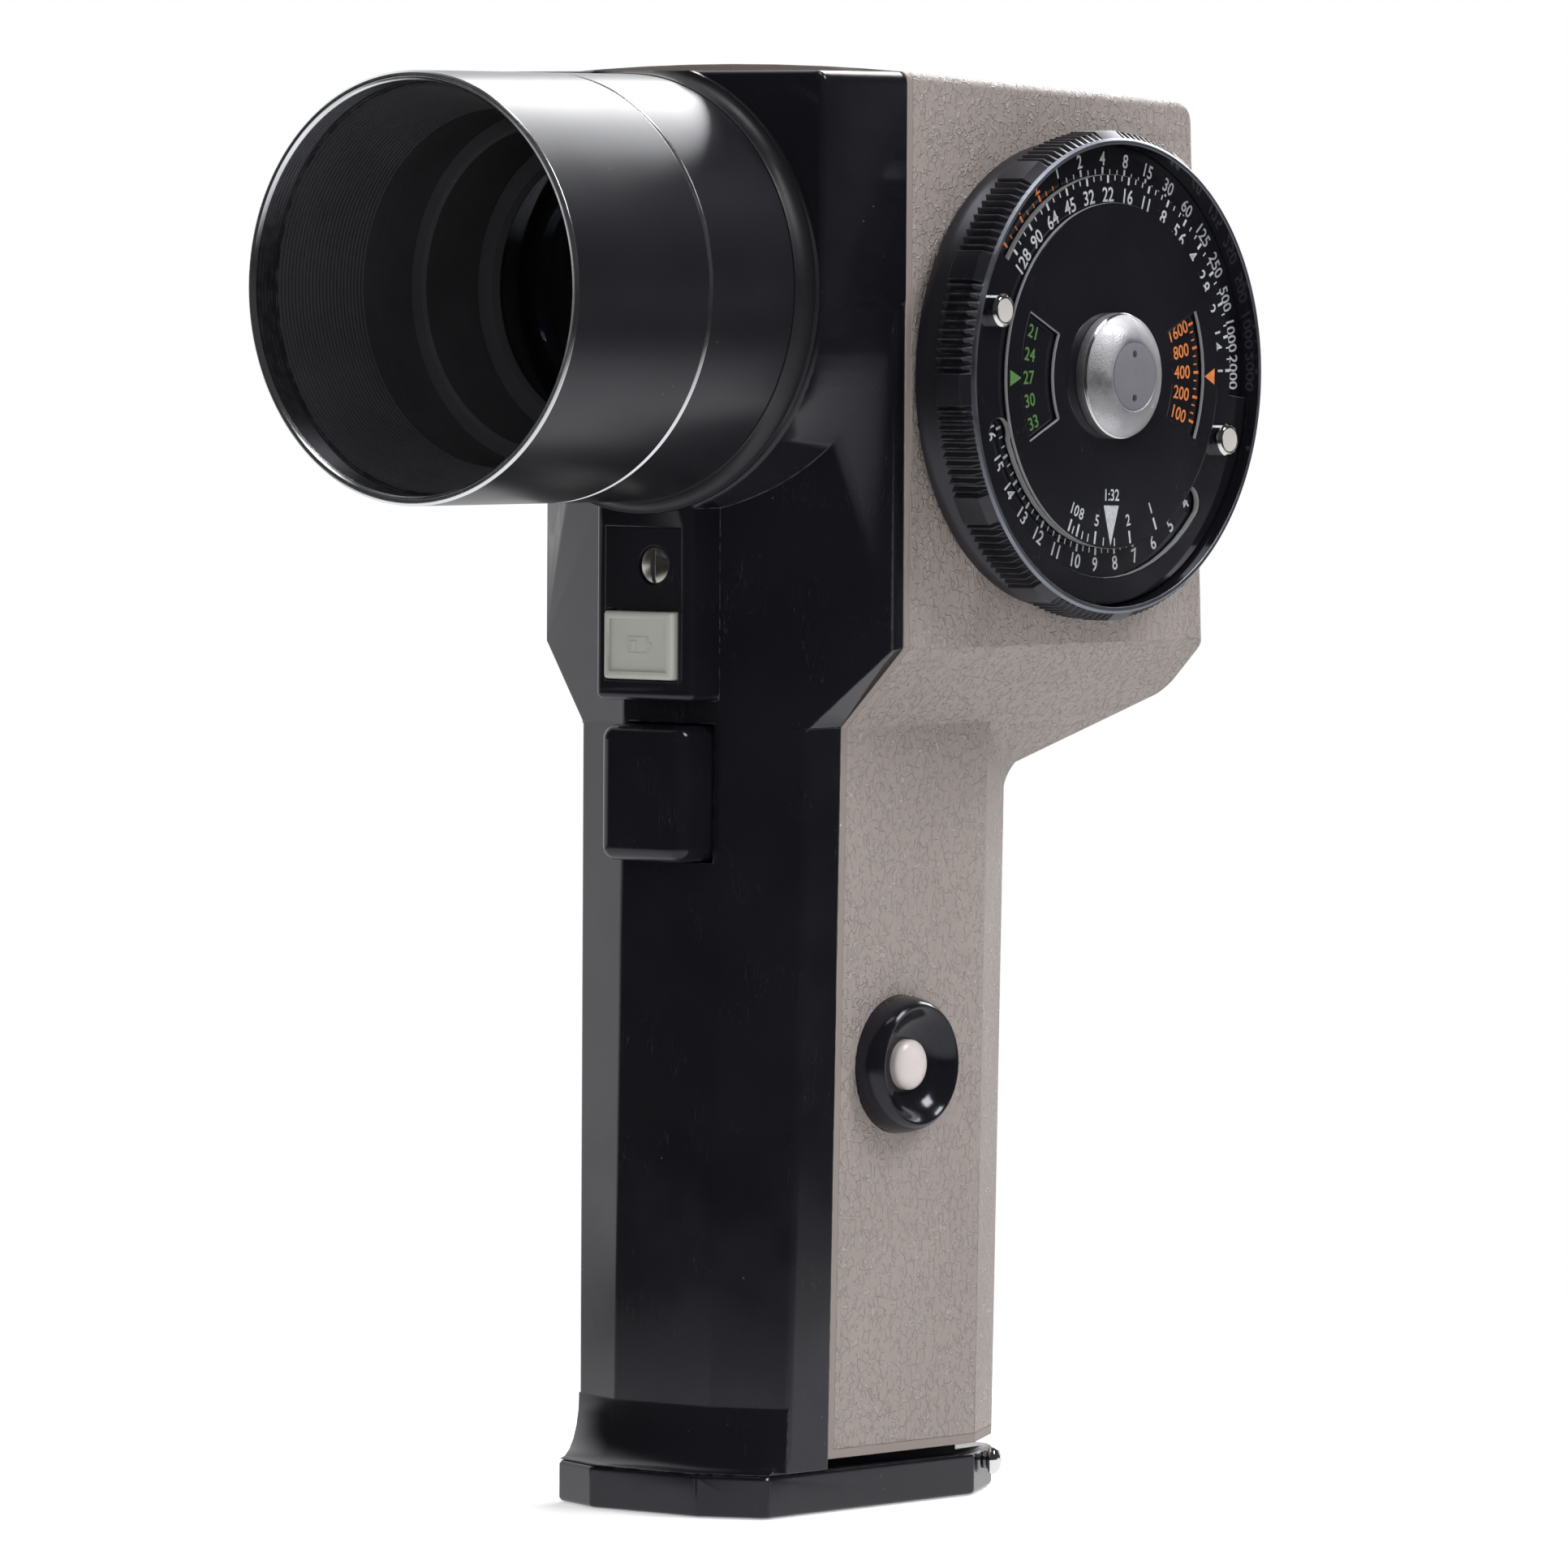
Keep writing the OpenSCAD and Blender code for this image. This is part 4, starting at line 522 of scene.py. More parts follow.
def turned(outline, axis, centre, steps):
    """Turns a closed outline of (radius, place along the axis) about an axis through a centre.
    The centre is (x, z) for the axis Y, (y, z) for X and (x, y) for Z, with y from the seam."""
    bm = bmesh.new()
    u, v = centre

    def spot(r, s, t):
        if axis == "Y":
            return (u + r * math.sin(t), s + SEAM_Y, v + r * math.cos(t))
        if axis == "X":
            return (s, u + SEAM_Y + r * math.sin(t), v + r * math.cos(t))
        return (u + r * math.sin(t), v + SEAM_Y + r * math.cos(t), s)

    rings = []
    for r, s in outline:
        if r < 1e-6:
            rings.append([bm.verts.new(spot(0, s, 0))] * steps)
        else:
            rings.append([bm.verts.new(spot(r, s, 2 * math.pi * k / steps)) for k in range(steps)])
    for i, ring in enumerate(rings):
        after = rings[(i + 1) % len(rings)]
        for k in range(steps):
            corners = [ring[k], ring[(k + 1) % steps], after[(k + 1) % steps], after[k]]
            unique = list(dict.fromkeys(corners))
            if len(unique) > 2:
                bm.faces.new(unique)
    return as_mesh(bm, "turned")


def skinned(name, sections, ring=False):
    """A skin over loops of equal length, one after another. It is closed by a face at each end, or,
    for a ring, by joining the last loop to the first."""
    bm = bmesh.new()
    loops = [[bm.verts.new((x, y + SEAM_Y, z)) for x, y, z in section] for section in sections]
    pairs = list(zip(loops, loops[1:]))
    if ring:
        pairs.append((loops[-1], loops[0]))
    for a, b in pairs:
        for k in range(len(a)):
            after = (k + 1) % len(a)
            bm.faces.new([a[k], a[after], b[after], b[k]])
    if not ring:
        bm.faces.new(loops[0])
        bm.faces.new(loops[-1])
    return as_mesh(bm, name)


def plate_x(outline, low, high):
    """Sections of a plate between two values of X, from an outline in Y and Z."""
    return [[(x, y, z) for y, z in outline] for x in (low, high)]


def plate_y(outline, low, high):
    """Sections of a plate between two values of Y, from an outline in X and Z."""
    return [[(x, y, z) for x, z in outline] for y in (low, high)]


def block_mesh(name, x, y, z, radius=0.0, segments=4):
    """A block between two values along each axis, with all its edges rounded."""
    bm = bmesh.new()
    bmesh.ops.create_cube(bm, size=1)
    for vertex in bm.verts:
        vertex.co = Vector([low + (high - low) * (c + 0.5) for (low, high), c in
                            zip((x, (y[0] + SEAM_Y, y[1] + SEAM_Y), z), vertex.co)])
    if radius:
        bmesh.ops.bevel(bm, geom=bm.edges[:], offset=radius, segments=segments, profile=0.5,
                        affect="EDGES", clamp_overlap=True)
    return as_mesh(bm, name)


def merged(name, meshes):
    """Several meshes as one, each keeping its own closed skin."""
    bm = bmesh.new()
    for mesh in meshes:
        bm.from_mesh(mesh)
    whole = bpy.data.meshes.new(name)
    bm.to_mesh(whole)
    bm.free()
    return whole


print("mesh helpers are ready")

# %% [markdown]
# ## Cutting and joining solids
# A Boolean modifier can stay live, but it needs its cutter in the scene. These calls evaluate it once,
# keep the result as a plain mesh and throw the cutter away. Weighted Normal then makes large flat faces
# shade flat right up to their small rounded edges.


# %% Boolean and shading helpers
def scratch_object(mesh):
    made = bpy.data.objects.new("scratch", mesh)
    bpy.context.scene.collection.objects.link(made)
    return made


def evaluated(made):
    """The object's mesh with its modifiers applied. The object itself is removed."""
    graph = bpy.context.evaluated_depsgraph_get()
    mesh = bpy.data.meshes.new_from_object(made.evaluated_get(graph))
    bpy.data.objects.remove(made)
    return mesh


def combined(first, second, operation):
    """UNION, INTERSECT or DIFFERENCE of two closed meshes."""
    tool = scratch_object(second)
    work = scratch_object(first)
    cut = work.modifiers.new("cut", "BOOLEAN")
    cut.operation = operation
    cut.solver = "MANIFOLD"
    cut.object = tool
    result = evaluated(work)
    bpy.data.objects.remove(tool)
    if not result.polygons:
        raise ValueError(f"{operation} left nothing")
    return result


def all_joined(meshes):
    whole = meshes[0]
    for mesh in meshes[1:]:
        whole = combined(whole, mesh, "UNION")
    return whole


def copy_of(node):
    """A merged copy of a construction node's mesh. The node itself is left alone."""
    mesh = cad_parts[node].data.copy()
    bm = bmesh.new()
    bm.from_mesh(mesh)
    bmesh.ops.remove_doubles(bm, verts=bm.verts, dist=2e-6)
    bm.to_mesh(mesh)
    bm.free()
    mesh.materials.clear()
    return mesh


def trimmed(node, envelope):
    """What an envelope leaves of a construction node's mesh."""
    return combined(copy_of(node), envelope, "INTERSECT")


def shaded(mesh, angle=30, weighted=True):
    """Smooth shading that stays crisp at edges sharper than the angle."""
    for polygon in mesh.polygons:
        polygon.use_smooth = True
    mesh.set_sharp_from_angle(angle=math.radians(angle))
    if not weighted:
        return mesh
    work = scratch_object(mesh)
    even = work.modifiers.new("even", "WEIGHTED_NORMAL")
    even.keep_sharp = True
    return evaluated(work)


def bevelled(mesh, width):
    """Small rounded edges on a mesh with clean faces, by a Bevel modifier."""
    bm = bmesh.new()
    bm.from_mesh(mesh)
    bmesh.ops.dissolve_limit(bm, angle_limit=math.radians(0.6), verts=bm.verts, edges=bm.edges,
                             delimit={"NORMAL"})
    bm.to_mesh(mesh)
    bm.free()
    work = scratch_object(mesh)
    edge = work.modifiers.new("edge", "BEVEL")
    edge.width = width * MM
    edge.segments = 2
    edge.limit_method = "ANGLE"
    edge.angle_limit = math.radians(30)
    return evaluated(work)


def piece(name, mesh, materials, body, slot, replaces=()):
    """Puts a finished mesh into the scene as a piece that rides on a body."""
    mesh.name = name
    made = bpy.data.objects.new(name, mesh)
    bpy.context.scene.collection.objects.link(made)
    mesh.materials.clear()
    for material in materials if isinstance(materials, (list, tuple)) else [materials]:
        mesh.materials.append(material)
    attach(made, body)
    if replaces:
        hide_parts(*([replaces] if isinstance(replaces, str) else replaces))
    print(f"{name}: {len(mesh.polygons)} faces")
    return made


def turned_piece(name, outline, axis, centre, steps, materials, *place, angle=40, weighted=True):
    """A piece straight from the lathe. Its place is its body, its slot and the node that it replaces.
    The slot is not used.
    """
    mesh = shaded(turned(outline, axis, centre, steps), angle, weighted)
    return piece(name, mesh, materials, *place)


def paint(made, index, test):
    """Gives a slot's finish to the faces whose centre and normal pass the test."""
    for polygon in made.data.polygons:
        x, y, z = (c / MM for c in polygon.center)
        if test(x, y - SEAM_Y, z, polygon.normal):
            polygon.material_index = index


print("piece helpers are ready")

# %% [markdown]
# ## Copies round a circle, with Geometry Nodes
# Scale marks, knurling and grip ribs are all one small bar, repeated round an axis. An Array modifier
# with an empty could do it. A node tree does it with plain numbers as inputs: points are spread by their
# index, a bar is instanced on each, and the result is turned to its axis and made real. The same tree
# serves every ring of the meter.


# %% The tree of bars round a circle
def bars_tree():
    tree = bpy.data.node_groups.new("bars round a circle", "GeometryNodeTree")
    kinds = {"Count": "Int", "Start": "Float", "Step": "Float", "Radius": "Float", "Bar": "Vector",
             "Turn": "Vector", "Centre": "Vector", "Finish": "Material"}
    for label, kind in kinds.items():
        tree.interface.new_socket(label, in_out="INPUT", socket_type="NodeSocket" + kind)
    tree.interface.new_socket("Bars", in_out="OUTPUT", socket_type="NodeSocketGeometry")
    node = partial(add_node, tree)

    def maths(operation, *values):
        return node("ShaderNodeMath", dict(enumerate(values)), operation=operation).outputs[0]

    given = node("NodeGroupInput", {}).outputs
    index = node("GeometryNodeInputIndex", {}).outputs[0]
    angle = maths("MULTIPLY_ADD", index, given["Step"], given["Start"])
    side = maths("MULTIPLY", maths("SINE", angle), given["Radius"])
    rise = maths("MULTIPLY", maths("COSINE", angle), given["Radius"])
    spot = node("ShaderNodeCombineXYZ", {"Y": side, "Z": rise}).outputs[0]
    points = node("GeometryNodePoints", {"Count": given["Count"], "Position": spot}).outputs[0]
    turn = node("ShaderNodeCombineXYZ", {"X": maths("SUBTRACT", 0.0, angle)}).outputs[0]
    bar = node("GeometryNodeMeshCube", {"Size": given["Bar"]}).outputs["Mesh"]
    spread = node("GeometryNodeInstanceOnPoints", {"Points": points, "Instance": bar, "Rotation": turn})
    placed = node("GeometryNodeTransform", {"Geometry": spread.outputs[0], "Rotation": given["Turn"],
                                            "Translation": given["Centre"]})
    real = node("GeometryNodeRealizeInstances", {"Geometry": placed.outputs[0]})
    dressed = node("GeometryNodeSetMaterial", {"Geometry": real.outputs[0], "Material": given["Finish"]})
    out = node("NodeGroupOutput", {})
    tree.links.new(dressed.outputs[0], out.inputs[0])
    return tree


BARS = bars_tree()


def bars(count, start, step, radius, bar, centre, finish, along="X"):
    """Bars round an axis. Angles are degrees clockwise from the top, and a bar's size is its length
    along the axis, its width and its length outwards. The centre is a point, with y from the seam."""
    values = {"Count": count, "Start": math.radians(start), "Step": math.radians(step),
              "Radius": radius * MM, "Bar": [s * MM for s in bar],
              "Turn": (0.0, 0.0, math.radians(90) if along == "Y" else 0.0),
              "Centre": [c * MM for c in (centre[0], centre[1] + SEAM_Y, centre[2])], "Finish": finish}
    work = scratch_object(bpy.data.meshes.new("bars"))
    nodes = work.modifiers.new("bars", "NODES")
    nodes.node_group = BARS
    for item in BARS.interface.items_tree:
        if item.in_out == "INPUT":
            nodes[item.identifier] = values[item.name]
    return evaluated(work)


print("the tree has", len(BARS.nodes), "nodes")

# %% [markdown]
# ## The casing and its covers
# The body is a head on a tapered grip. Its walls, bosses and windows come from the construction model,
# whose outer edges are sharp. The moulding has rounded ones, about a millimetre and a half on the head
# and the grip. A Bevel modifier stops at the tiny edges round the screw holes, so instead a rounded
# envelope of the whole body is made, and each shell keeps only what lies inside it. The envelope of the
# head is what three rounded plates share: its plan, its front view and its side view.

# %% Sizes of the body
HALF_W = 26.4
PAD_X = 27.3
HEAD_TOP = 167.5
HEAD_LOW = 100.9
HEAD_BACK = 56.5
GRIP_TOP = 91.5
GRIP_HALF = 17.2
FOOT_HALF = 15.8
FRONT_OUT = 10.2
FRONT_LEAN = 1.0
EDGE_OUT = 5.9
FLAT_HALF = 7.3
GRIP_SIDE = 27.6
GRIP_BACK = 38.4
BACK_HALF = 11.5
BACK_HALF_FOOT = BACK_HALF - (GRIP_HALF - FOOT_HALF)
BLOCK_OUT = 15.5
BASE_T = 5.0
TOE_OUT = 3.5
UNDER_SLOPE = 0.45
TOP_DROP = 3.1
TOP_CROWN = 1.0
BACK_SLOPE = 3.0 / (HEAD_TOP - HEAD_LOW)
BACK_PIVOT = LENS_Z - 12.5
SIDE_RUN = (HALF_W - GRIP_HALF) / (HEAD_LOW - GRIP_TOP)
BEVEL_RUN = (FRONT_OUT - 1.8) / (HALF_W - FLAT_HALF)
THROAT_Z = GRIP_TOP - (GRIP_HALF - BACK_HALF) / SIDE_RUN
EASE = 0.015
REAR_EDGE = 1.5
UNDER_EDGE = 2.5
CROWN_EDGE = 6.5
REACH = 40.0
BELOW = 80.0
print("the head narrows by", round(SIDE_RUN, 2), "mm per mm below its side faces")


# %% The rounded envelope
def head_back_at(z):
    """The rear face leans: it is furthest back at its foot."""
    return HEAD_BACK + BACK_SLOPE * (BACK_PIVOT - z) + EASE


def head_envelope(step, edge, top_edge, front):
    """What the plan, the front view and the side view of the head share, each with rounded corners."""
    w = HALF_W - step + EASE
    side_front = -FRONT_OUT + (w - FLAT_HALF) * BEVEL_RUN

    def plan_at(z):
        back = head_back_at(z)
        corners = [(-w, side_front), (-FLAT_HALF, -FRONT_OUT - EASE), (FLAT_HALF, -FRONT_OUT - EASE),
                   (w, side_front), (w, back), (-w, back)]
        radii = [edge, edge * 1.5, edge * 1.5, edge, REAR_EDGE, REAR_EDGE]
        return [(x, y, z) for x, y in rounded(corners, radii, 7)]

    low_half = GRIP_HALF + (BELOW - GRIP_TOP) * SIDE_RUN
    fall = TOP_DROP / HEAD_BACK
    top = HEAD_TOP + TOP_CROWN if not front else HEAD_TOP + EASE
    sides = [(-w, HEAD_LOW - EASE), (-low_half - EASE, BELOW), (low_half + EASE, BELOW), (w, HEAD_LOW - EASE)]
    sizes = [edge, 0, 0, edge, top_edge]
    if front:
        view = rounded(sides + [(w, top), (-w, top)], sizes + [top_edge], 5)
        front_view = skinned("front view", plate_y(view, -REACH, REACH))
    else:
        radius = (HALF_W ** 2 + TOP_CROWN ** 2) / (2 * TOP_CROWN)
        span = math.degrees(math.asin(w / radius))
        crown = arc((0, top + EASE - radius), radius, 90 - span, 90 + span, 24)
        view = rounded(sides + crown, sizes + [0] * 23 + [top_edge], 5)
        tilt = [[(x, y, z - (fall * y if z > HEAD_LOW + 20 else 0)) for x, z in view] for y in (-REACH, 90)]
        front_view = skinned("front view", tilt)
    throat = THROAT_Z - EASE * 1.1
    low_back = (head_back_at(throat) + BACK_SLOPE * UNDER_SLOPE * GRIP_BACK) / (1 + BACK_SLOPE * UNDER_SLOPE)
    top_back = head_back_at(HEAD_TOP)
    lines = [(-REACH, throat), (GRIP_BACK, throat), (low_back, throat + UNDER_SLOPE * (low_back - GRIP_BACK)),
             (top_back, HEAD_TOP + TOP_CROWN + EASE - TOP_DROP), (-REACH, HEAD_TOP + TOP_CROWN + 3.0)]
    lines = rounded(lines, [0, 0, UNDER_EDGE, CROWN_EDGE, 0], 8)
    side_view = skinned("side view", plate_x(lines, -REACH, REACH))
    shared = combined(front_view, skinned("plan", [plan_at(60), plan_at(190)]), "INTERSECT")
    return combined(shared, side_view, "INTERSECT")


def grip_plan(side, back, lean):
    """The grip's outline at one height, a hair wider than the casing's own."""
    front = -FRONT_OUT - lean - EASE
    slope = -EDGE_OUT - lean - (GRIP_HALF - side) * BEVEL_RUN - EASE
    s, b = side + EASE, back + EASE
    return [(-s, slope), (-FLAT_HALF, front), (FLAT_HALF, front), (s, slope), (s, GRIP_SIDE + EASE),
            (b, GRIP_BACK + EASE), (-b, GRIP_BACK + EASE), (-s, GRIP_SIDE + EASE)]


GRIP_ROUND = [1.3, 2.2, 2.2, 1.3, 2.0, 2.0, 2.0, 2.0]


def grip_envelope():
    """The tapered grip between its two plans, carried on a little past both ends."""
    per_mm = 1 / (GRIP_TOP - BASE_T)

    def plan_at(z):
        share = (GRIP_TOP - z) * per_mm
        plan = grip_plan(GRIP_HALF + (FOOT_HALF - GRIP_HALF) * share,
                         BACK_HALF + (BACK_HALF_FOOT - BACK_HALF) * share, FRONT_LEAN * share)
        return [(x, y, z) for x, y in rounded(plan, GRIP_ROUND, 5, least=8)]

    return skinned("grip", [plan_at(BASE_T - 1), plan_at(GRIP_TOP + 0.01)])


def lens_block_envelope():
    """Upright sides above the lens axis and a half round below, with a rounded front edge."""
    sections = []
    edge = 0.7
    for k in range(5):
        turn = math.radians(22.5 * k)
        inset = edge * (1 - math.sin(turn))
        y = -BLOCK_OUT - EASE + edge * (1 - math.cos(turn))
        r = HALF_W + EASE - inset
        top = HEAD_TOP + EASE - inset
        outline = arc((0, LENS_Z), r, 180, 360, 48) + [(r, top), (-r, top)]
        outline = rounded(outline, [0] * 49 + [1.4, 1.4], 5)
        sections.append([(x, y, z) for x, z in outline])
    sections.append([(x, 5.0, z) for x, _, z in sections[-1]])
    return skinned("lens block", sections)


def base_outline():
    """The foot's plan, which the toe and the base cap share."""
    front = -FRONT_OUT - FRONT_LEAN - TOE_OUT
    flat = FLAT_HALF + 0.7
    return [(-FOOT_HALF, front + (FOOT_HALF - flat) * BEVEL_RUN), (-flat, front), (flat, front),
            (FOOT_HALF, front + (FOOT_HALF - flat) * BEVEL_RUN), (FOOT_HALF, GRIP_SIDE),
            (BACK_HALF_FOOT, GRIP_BACK), (-BACK_HALF_FOOT, GRIP_BACK), (-FOOT_HALF, GRIP_SIDE)]


def base_section(spread, z):
    """The base plan with rounded corners, grown by a hair or drawn in towards an edge."""
    plan = rounded(base_outline(), [1.2, 1.8, 1.8, 1.2, 1.5, 1.5, 1.5, 1.5], 5)
    middle = (GRIP_BACK - FRONT_OUT - FRONT_LEAN - TOE_OUT) / 2
    half = (GRIP_BACK + FRONT_OUT + FRONT_LEAN + TOE_OUT) / 2
    grow_x = (FOOT_HALF + spread) / FOOT_HALF
    grow_y = (half + spread) / half
    return [(x * grow_x, middle + (y - middle) * grow_y, z) for x, y in plan]


PANEL_HALF = 7.2
PANEL_FOOT = 94.6
TOE_TOP = BASE_T + 7.6
below_block = block_mesh("below block", (-50, 50), (-50, 50), (60, LENS_Z + 8.1))
panel = block_mesh("panel", (-PANEL_HALF - EASE, PANEL_HALF + EASE), (-BLOCK_OUT - EASE, 0),
                   (PANEL_FOOT - EASE, 125), 0.9)
front_envelope = all_joined([
    combined(head_envelope(0.12, 1.2, 1.2, True), below_block, "INTERSECT"),
    grip_envelope(), lens_block_envelope(), panel,
    skinned("toe", [base_section(EASE, BASE_T - 1), base_section(EASE, TOE_TOP)])])
front_shell = trimmed("front_casing", front_envelope)
piece("front_casing_shell", shaded(front_shell), CASING_BLACK, "case", "black_shell", "front_casing")

# %% [markdown]
# The two covers meet on the middle plane. The raised field under the dial is added to their envelope, so
# that it stays. The boolean cuts keep the covers' own windows, bosses and screw wells. Where the grip's
# back runs into the underside of the head, the moulding has a wide hollow radius that also goes round the
# grip's rear bevels. It is skinned from strips that follow the corner, each a step further along the arc.

# %% The throat's hollow radius
THROAT_RADIUS = 6.0
SIDE_THROAT_RADIUS = 1.8
THROAT_STEPS = 8
SUNK = 0.06
ROUNDED_OFF = 0.37


def throat_strip(share, depth):
    """One strip of the hollow radius on the +X side, from the middle plane to the grip's side face. It is
    sunk a little into both faces, and the last strip, past the whole arc, reaches up into the head."""
    run, rise = GRIP_BACK - GRIP_SIDE, GRIP_HALF - BACK_HALF
    size = math.hypot(run, rise)
    bevel = (run / size, rise / size)
    turn = math.hypot(bevel[0], bevel[1] + 1)
    corner = (bevel[0] / turn, (bevel[1] + 1) / turn)
    side_rise = bevel[0] / SIDE_RUN
    mid = (BACK_HALF - ROUNDED_OFF * corner[0], GRIP_BACK - ROUNDED_OFF * corner[1])
    path = [((0.0, GRIP_BACK), (0.0, 1.0), THROAT_RADIUS, UNDER_SLOPE),
            ((BACK_HALF - 1.3, GRIP_BACK), (0.0, 1.0), THROAT_RADIUS, UNDER_SLOPE),
            (mid, corner, THROAT_RADIUS, corner[0] / SIDE_RUN)]
    for t in (0.11, 0.35, 0.65, 0.97):
        radius = THROAT_RADIUS - (THROAT_RADIUS - SIDE_THROAT_RADIUS) * t
        path.append(((BACK_HALF + rise * t, GRIP_BACK - run * t), bevel, radius, side_rise))
    out = []
    for (x, y), (across, back), radius, slope in path:
        roof = GRIP_TOP - (GRIP_HALF - x) / SIDE_RUN if x > BACK_HALF else THROAT_Z
        fall = math.atan(slope)
        tangent = radius * math.tan((math.pi / 2 - fall) / 2)
        angle = math.pi - (math.pi / 2 - fall) * min(share, 1.0)
        reach = radius * (1 + math.cos(angle)) - SUNK - depth
        height = roof - tangent + radius * math.sin(angle) + (0.5 if share > 1 else SUNK)
        out.append((x + across * reach, y + back * reach, height))
    return out


def throat_radius(sign):
    """The strips' outer lines and, a wall's thickness further in, their inner lines."""
    sections = []
    for k in range(THROAT_STEPS + 2):
        outer = throat_strip(k / THROAT_STEPS, 0.0)
        inner = throat_strip(k / THROAT_STEPS, 1.3)[::-1]
        sections.append([(sign * x, y, z) for x, y, z in outer + inner])
    return skinned("throat", sections)


# %% The covers
cover_envelope = all_joined([
    head_envelope(0.0, 1.1, 1.6, False), grip_envelope(),
    block_mesh("dial field", (20, PAD_X + EASE), (2.5, 54), (HEAD_LOW, 160.2)),
    block_mesh("throat", (-10.7, 10.7), (GRIP_BACK - 2, GRIP_BACK + 6), (THROAT_Z - 6, THROAT_Z + 4))])
for side, sign in (("right", 1), ("left", -1)):
    shell = combined(trimmed(f"{side}_cover", cover_envelope.copy()), throat_radius(sign), "UNION")
    piece(f"{side}_cover_shell", shaded(shell), COVER_GREY, "case", "grained_grey", f"{side}_cover")

# %% [markdown]
# The base cap closes the grip. It is drawn between three plans, so that its lower and upper edges round
# off, and the shape that they enclose trims the cap of the construction model, with its holes.

# %% The base cap
EDGE_STEPS = [(0.55, 0.0), (0.2, 0.17), (0.0, 0.55)]
base_skin = [base_section(EASE - inset, rise - EASE) for inset, rise in EDGE_STEPS]
base_skin += [base_section(EASE - inset, BASE_T + EASE - rise) for inset, rise in reversed(EDGE_STEPS)]
rim_room = block_mesh("rim", (-14, 14), (0, 28), (BASE_T - 1, BASE_T + 4))
base_shell = trimmed("base_cap", combined(skinned("base", base_skin), rim_room, "UNION"))
piece("base_cap_shell", shaded(base_shell), CASING_BLACK, "case", "black_plastic", "base_cap")

# %% [markdown]
# ## The button panel and the trigger
# Below the lens a flat panel carries the meter's zero screw and a button that checks the battery. The
# trigger is a plain block with well rounded edges. The construction model's button keeps its raised rim
# and is trimmed by a rounded block joined to a second one. On the button stands a small sign of a battery,
# made from plain bars.

# %% Trigger
TRIGGER_X = (-6.3, 6.3)
TRIGGER_Y = (-16.0, -6.0)
TRIGGER_Z = (75.9, 91.7)
TRIGGER_EDGE = 1.7
trigger = block_mesh("trigger", TRIGGER_X, TRIGGER_Y, TRIGGER_Z, TRIGGER_EDGE, 7)
trigger = combined(trigger, copy_of("trigger"), "INTERSECT")
piece("trigger_key", shaded(trigger), TRIGGER_BLACK, "trigger_body", "black_shell", "trigger")

# %% Panel plate, check button and zero screw
piece("panel_plate", shaded(copy_of("front_plate")), PANEL_BLACK, "case", "black_paint", "front_plate")

CHECK_Z = 101.0
button = trimmed("check_button", all_joined([
    block_mesh("cap", (-5.15, 5.15), (-16.5, -12.5), (CHECK_Z - 3.95, CHECK_Z + 3.95), 0.45),
    block_mesh("skirt", (-6, 6), (-13.45, -8), (CHECK_Z - 5, CHECK_Z + 5))]))
piece("check_button_cap", shaded(button), BUTTON_GREY, "check_button_body", "grey_plastic", "check_button")

SIGN_Y = (-16.19, -16.05)
SIGN_BARS = [((-1.7, 1.4), (0.8, 1.05)), ((-1.7, 1.4), (-1.05, -0.8)), ((-1.7, -1.45), (-0.8, 0.8)),
             ((1.15, 1.4), (-0.8, 0.8)), ((1.4, 1.85), (-0.4, 0.4)), ((-1.2, -0.35), (-0.55, 0.55))]
sign = [block_mesh("bar", x, SIGN_Y, (CHECK_Z + low, CHECK_Z + high)) for x, (low, high) in SIGN_BARS]
piece("check_button_sign", merged("sign", sign), BUTTON_GREY, "check_button_body", "grey_plastic")

ZERO = (1.6, 110.3)
screw = [(0, -15.62), (1.3, -15.55), (2.1, -15.3), (2.1, -15.05), (1.0, -15.05), (1.0, -5.8), (0, -5.8)]
screw = turned(rounded(screw, 0.08), "Y", ZERO, 96)
slot_cut = block_mesh("slot", (ZERO[0] - 0.3, ZERO[0] + 0.3), (-16, -15.25), (ZERO[1] - 3, ZERO[1] + 3))
piece("zero_screw_head", shaded(combined(screw, slot_cut, "DIFFERENCE")), NICKEL, "zero_screw_body",
      "plain_steel", "zero_screw")

# %% [markdown]
# ## Lamp button
# The button that lights the finder's scale sits deep in a dished black ring, so that it isn't pressed by
# chance. Both are turned from outlines, and the ring's corners become small arcs.

# %% Lamp ring and button
LAMP = (11.9, 51.8)
LAMP_SEAT = 15.9
LAMP_TOP = LAMP_SEAT + 4.1
ring = [(3.0, 13.4), (4.5, 13.4), (4.5, LAMP_SEAT), (8.1, LAMP_SEAT)]
ring += moved([(8.08, 1.1), (7.98, 2.0), (7.8, 2.8), (7.55, 3.45), (7.25, 3.87), (6.95, 4.1), (6.65, 3.98),
               (6.35, 3.7), (6.0, 3.3), (5.6, 2.85), (5.1, 2.45), (4.5, 2.12), (3.8, 1.9), (3.0, 1.78)],
              LAMP_SEAT)
turned_piece("lamp_ring_turned", rounded(ring, 0.15), "X", LAMP, 128, CASING_BLACK, "case", "black_shell",
             "lamp_ring", angle=45)
LAMP_TIP = LAMP_TOP - 0.7
DOME_R = 2.95
DOME_RISE = 1.15
button = [(0, 12.55), (4, 12.55), (4, 13.35), (DOME_R, 13.35), (DOME_R, 14.0)]
for a in range(90, -1, -6):
    turn = math.radians(a)
    button.append((DOME_R * math.sin(turn), LAMP_TIP - DOME_RISE * (1 - math.cos(turn))))
turned_piece("lamp_button_cap", button, "X", LAMP, 96, IVORY, "lamp_button_body", "white_plastic",
             "lamp_button")

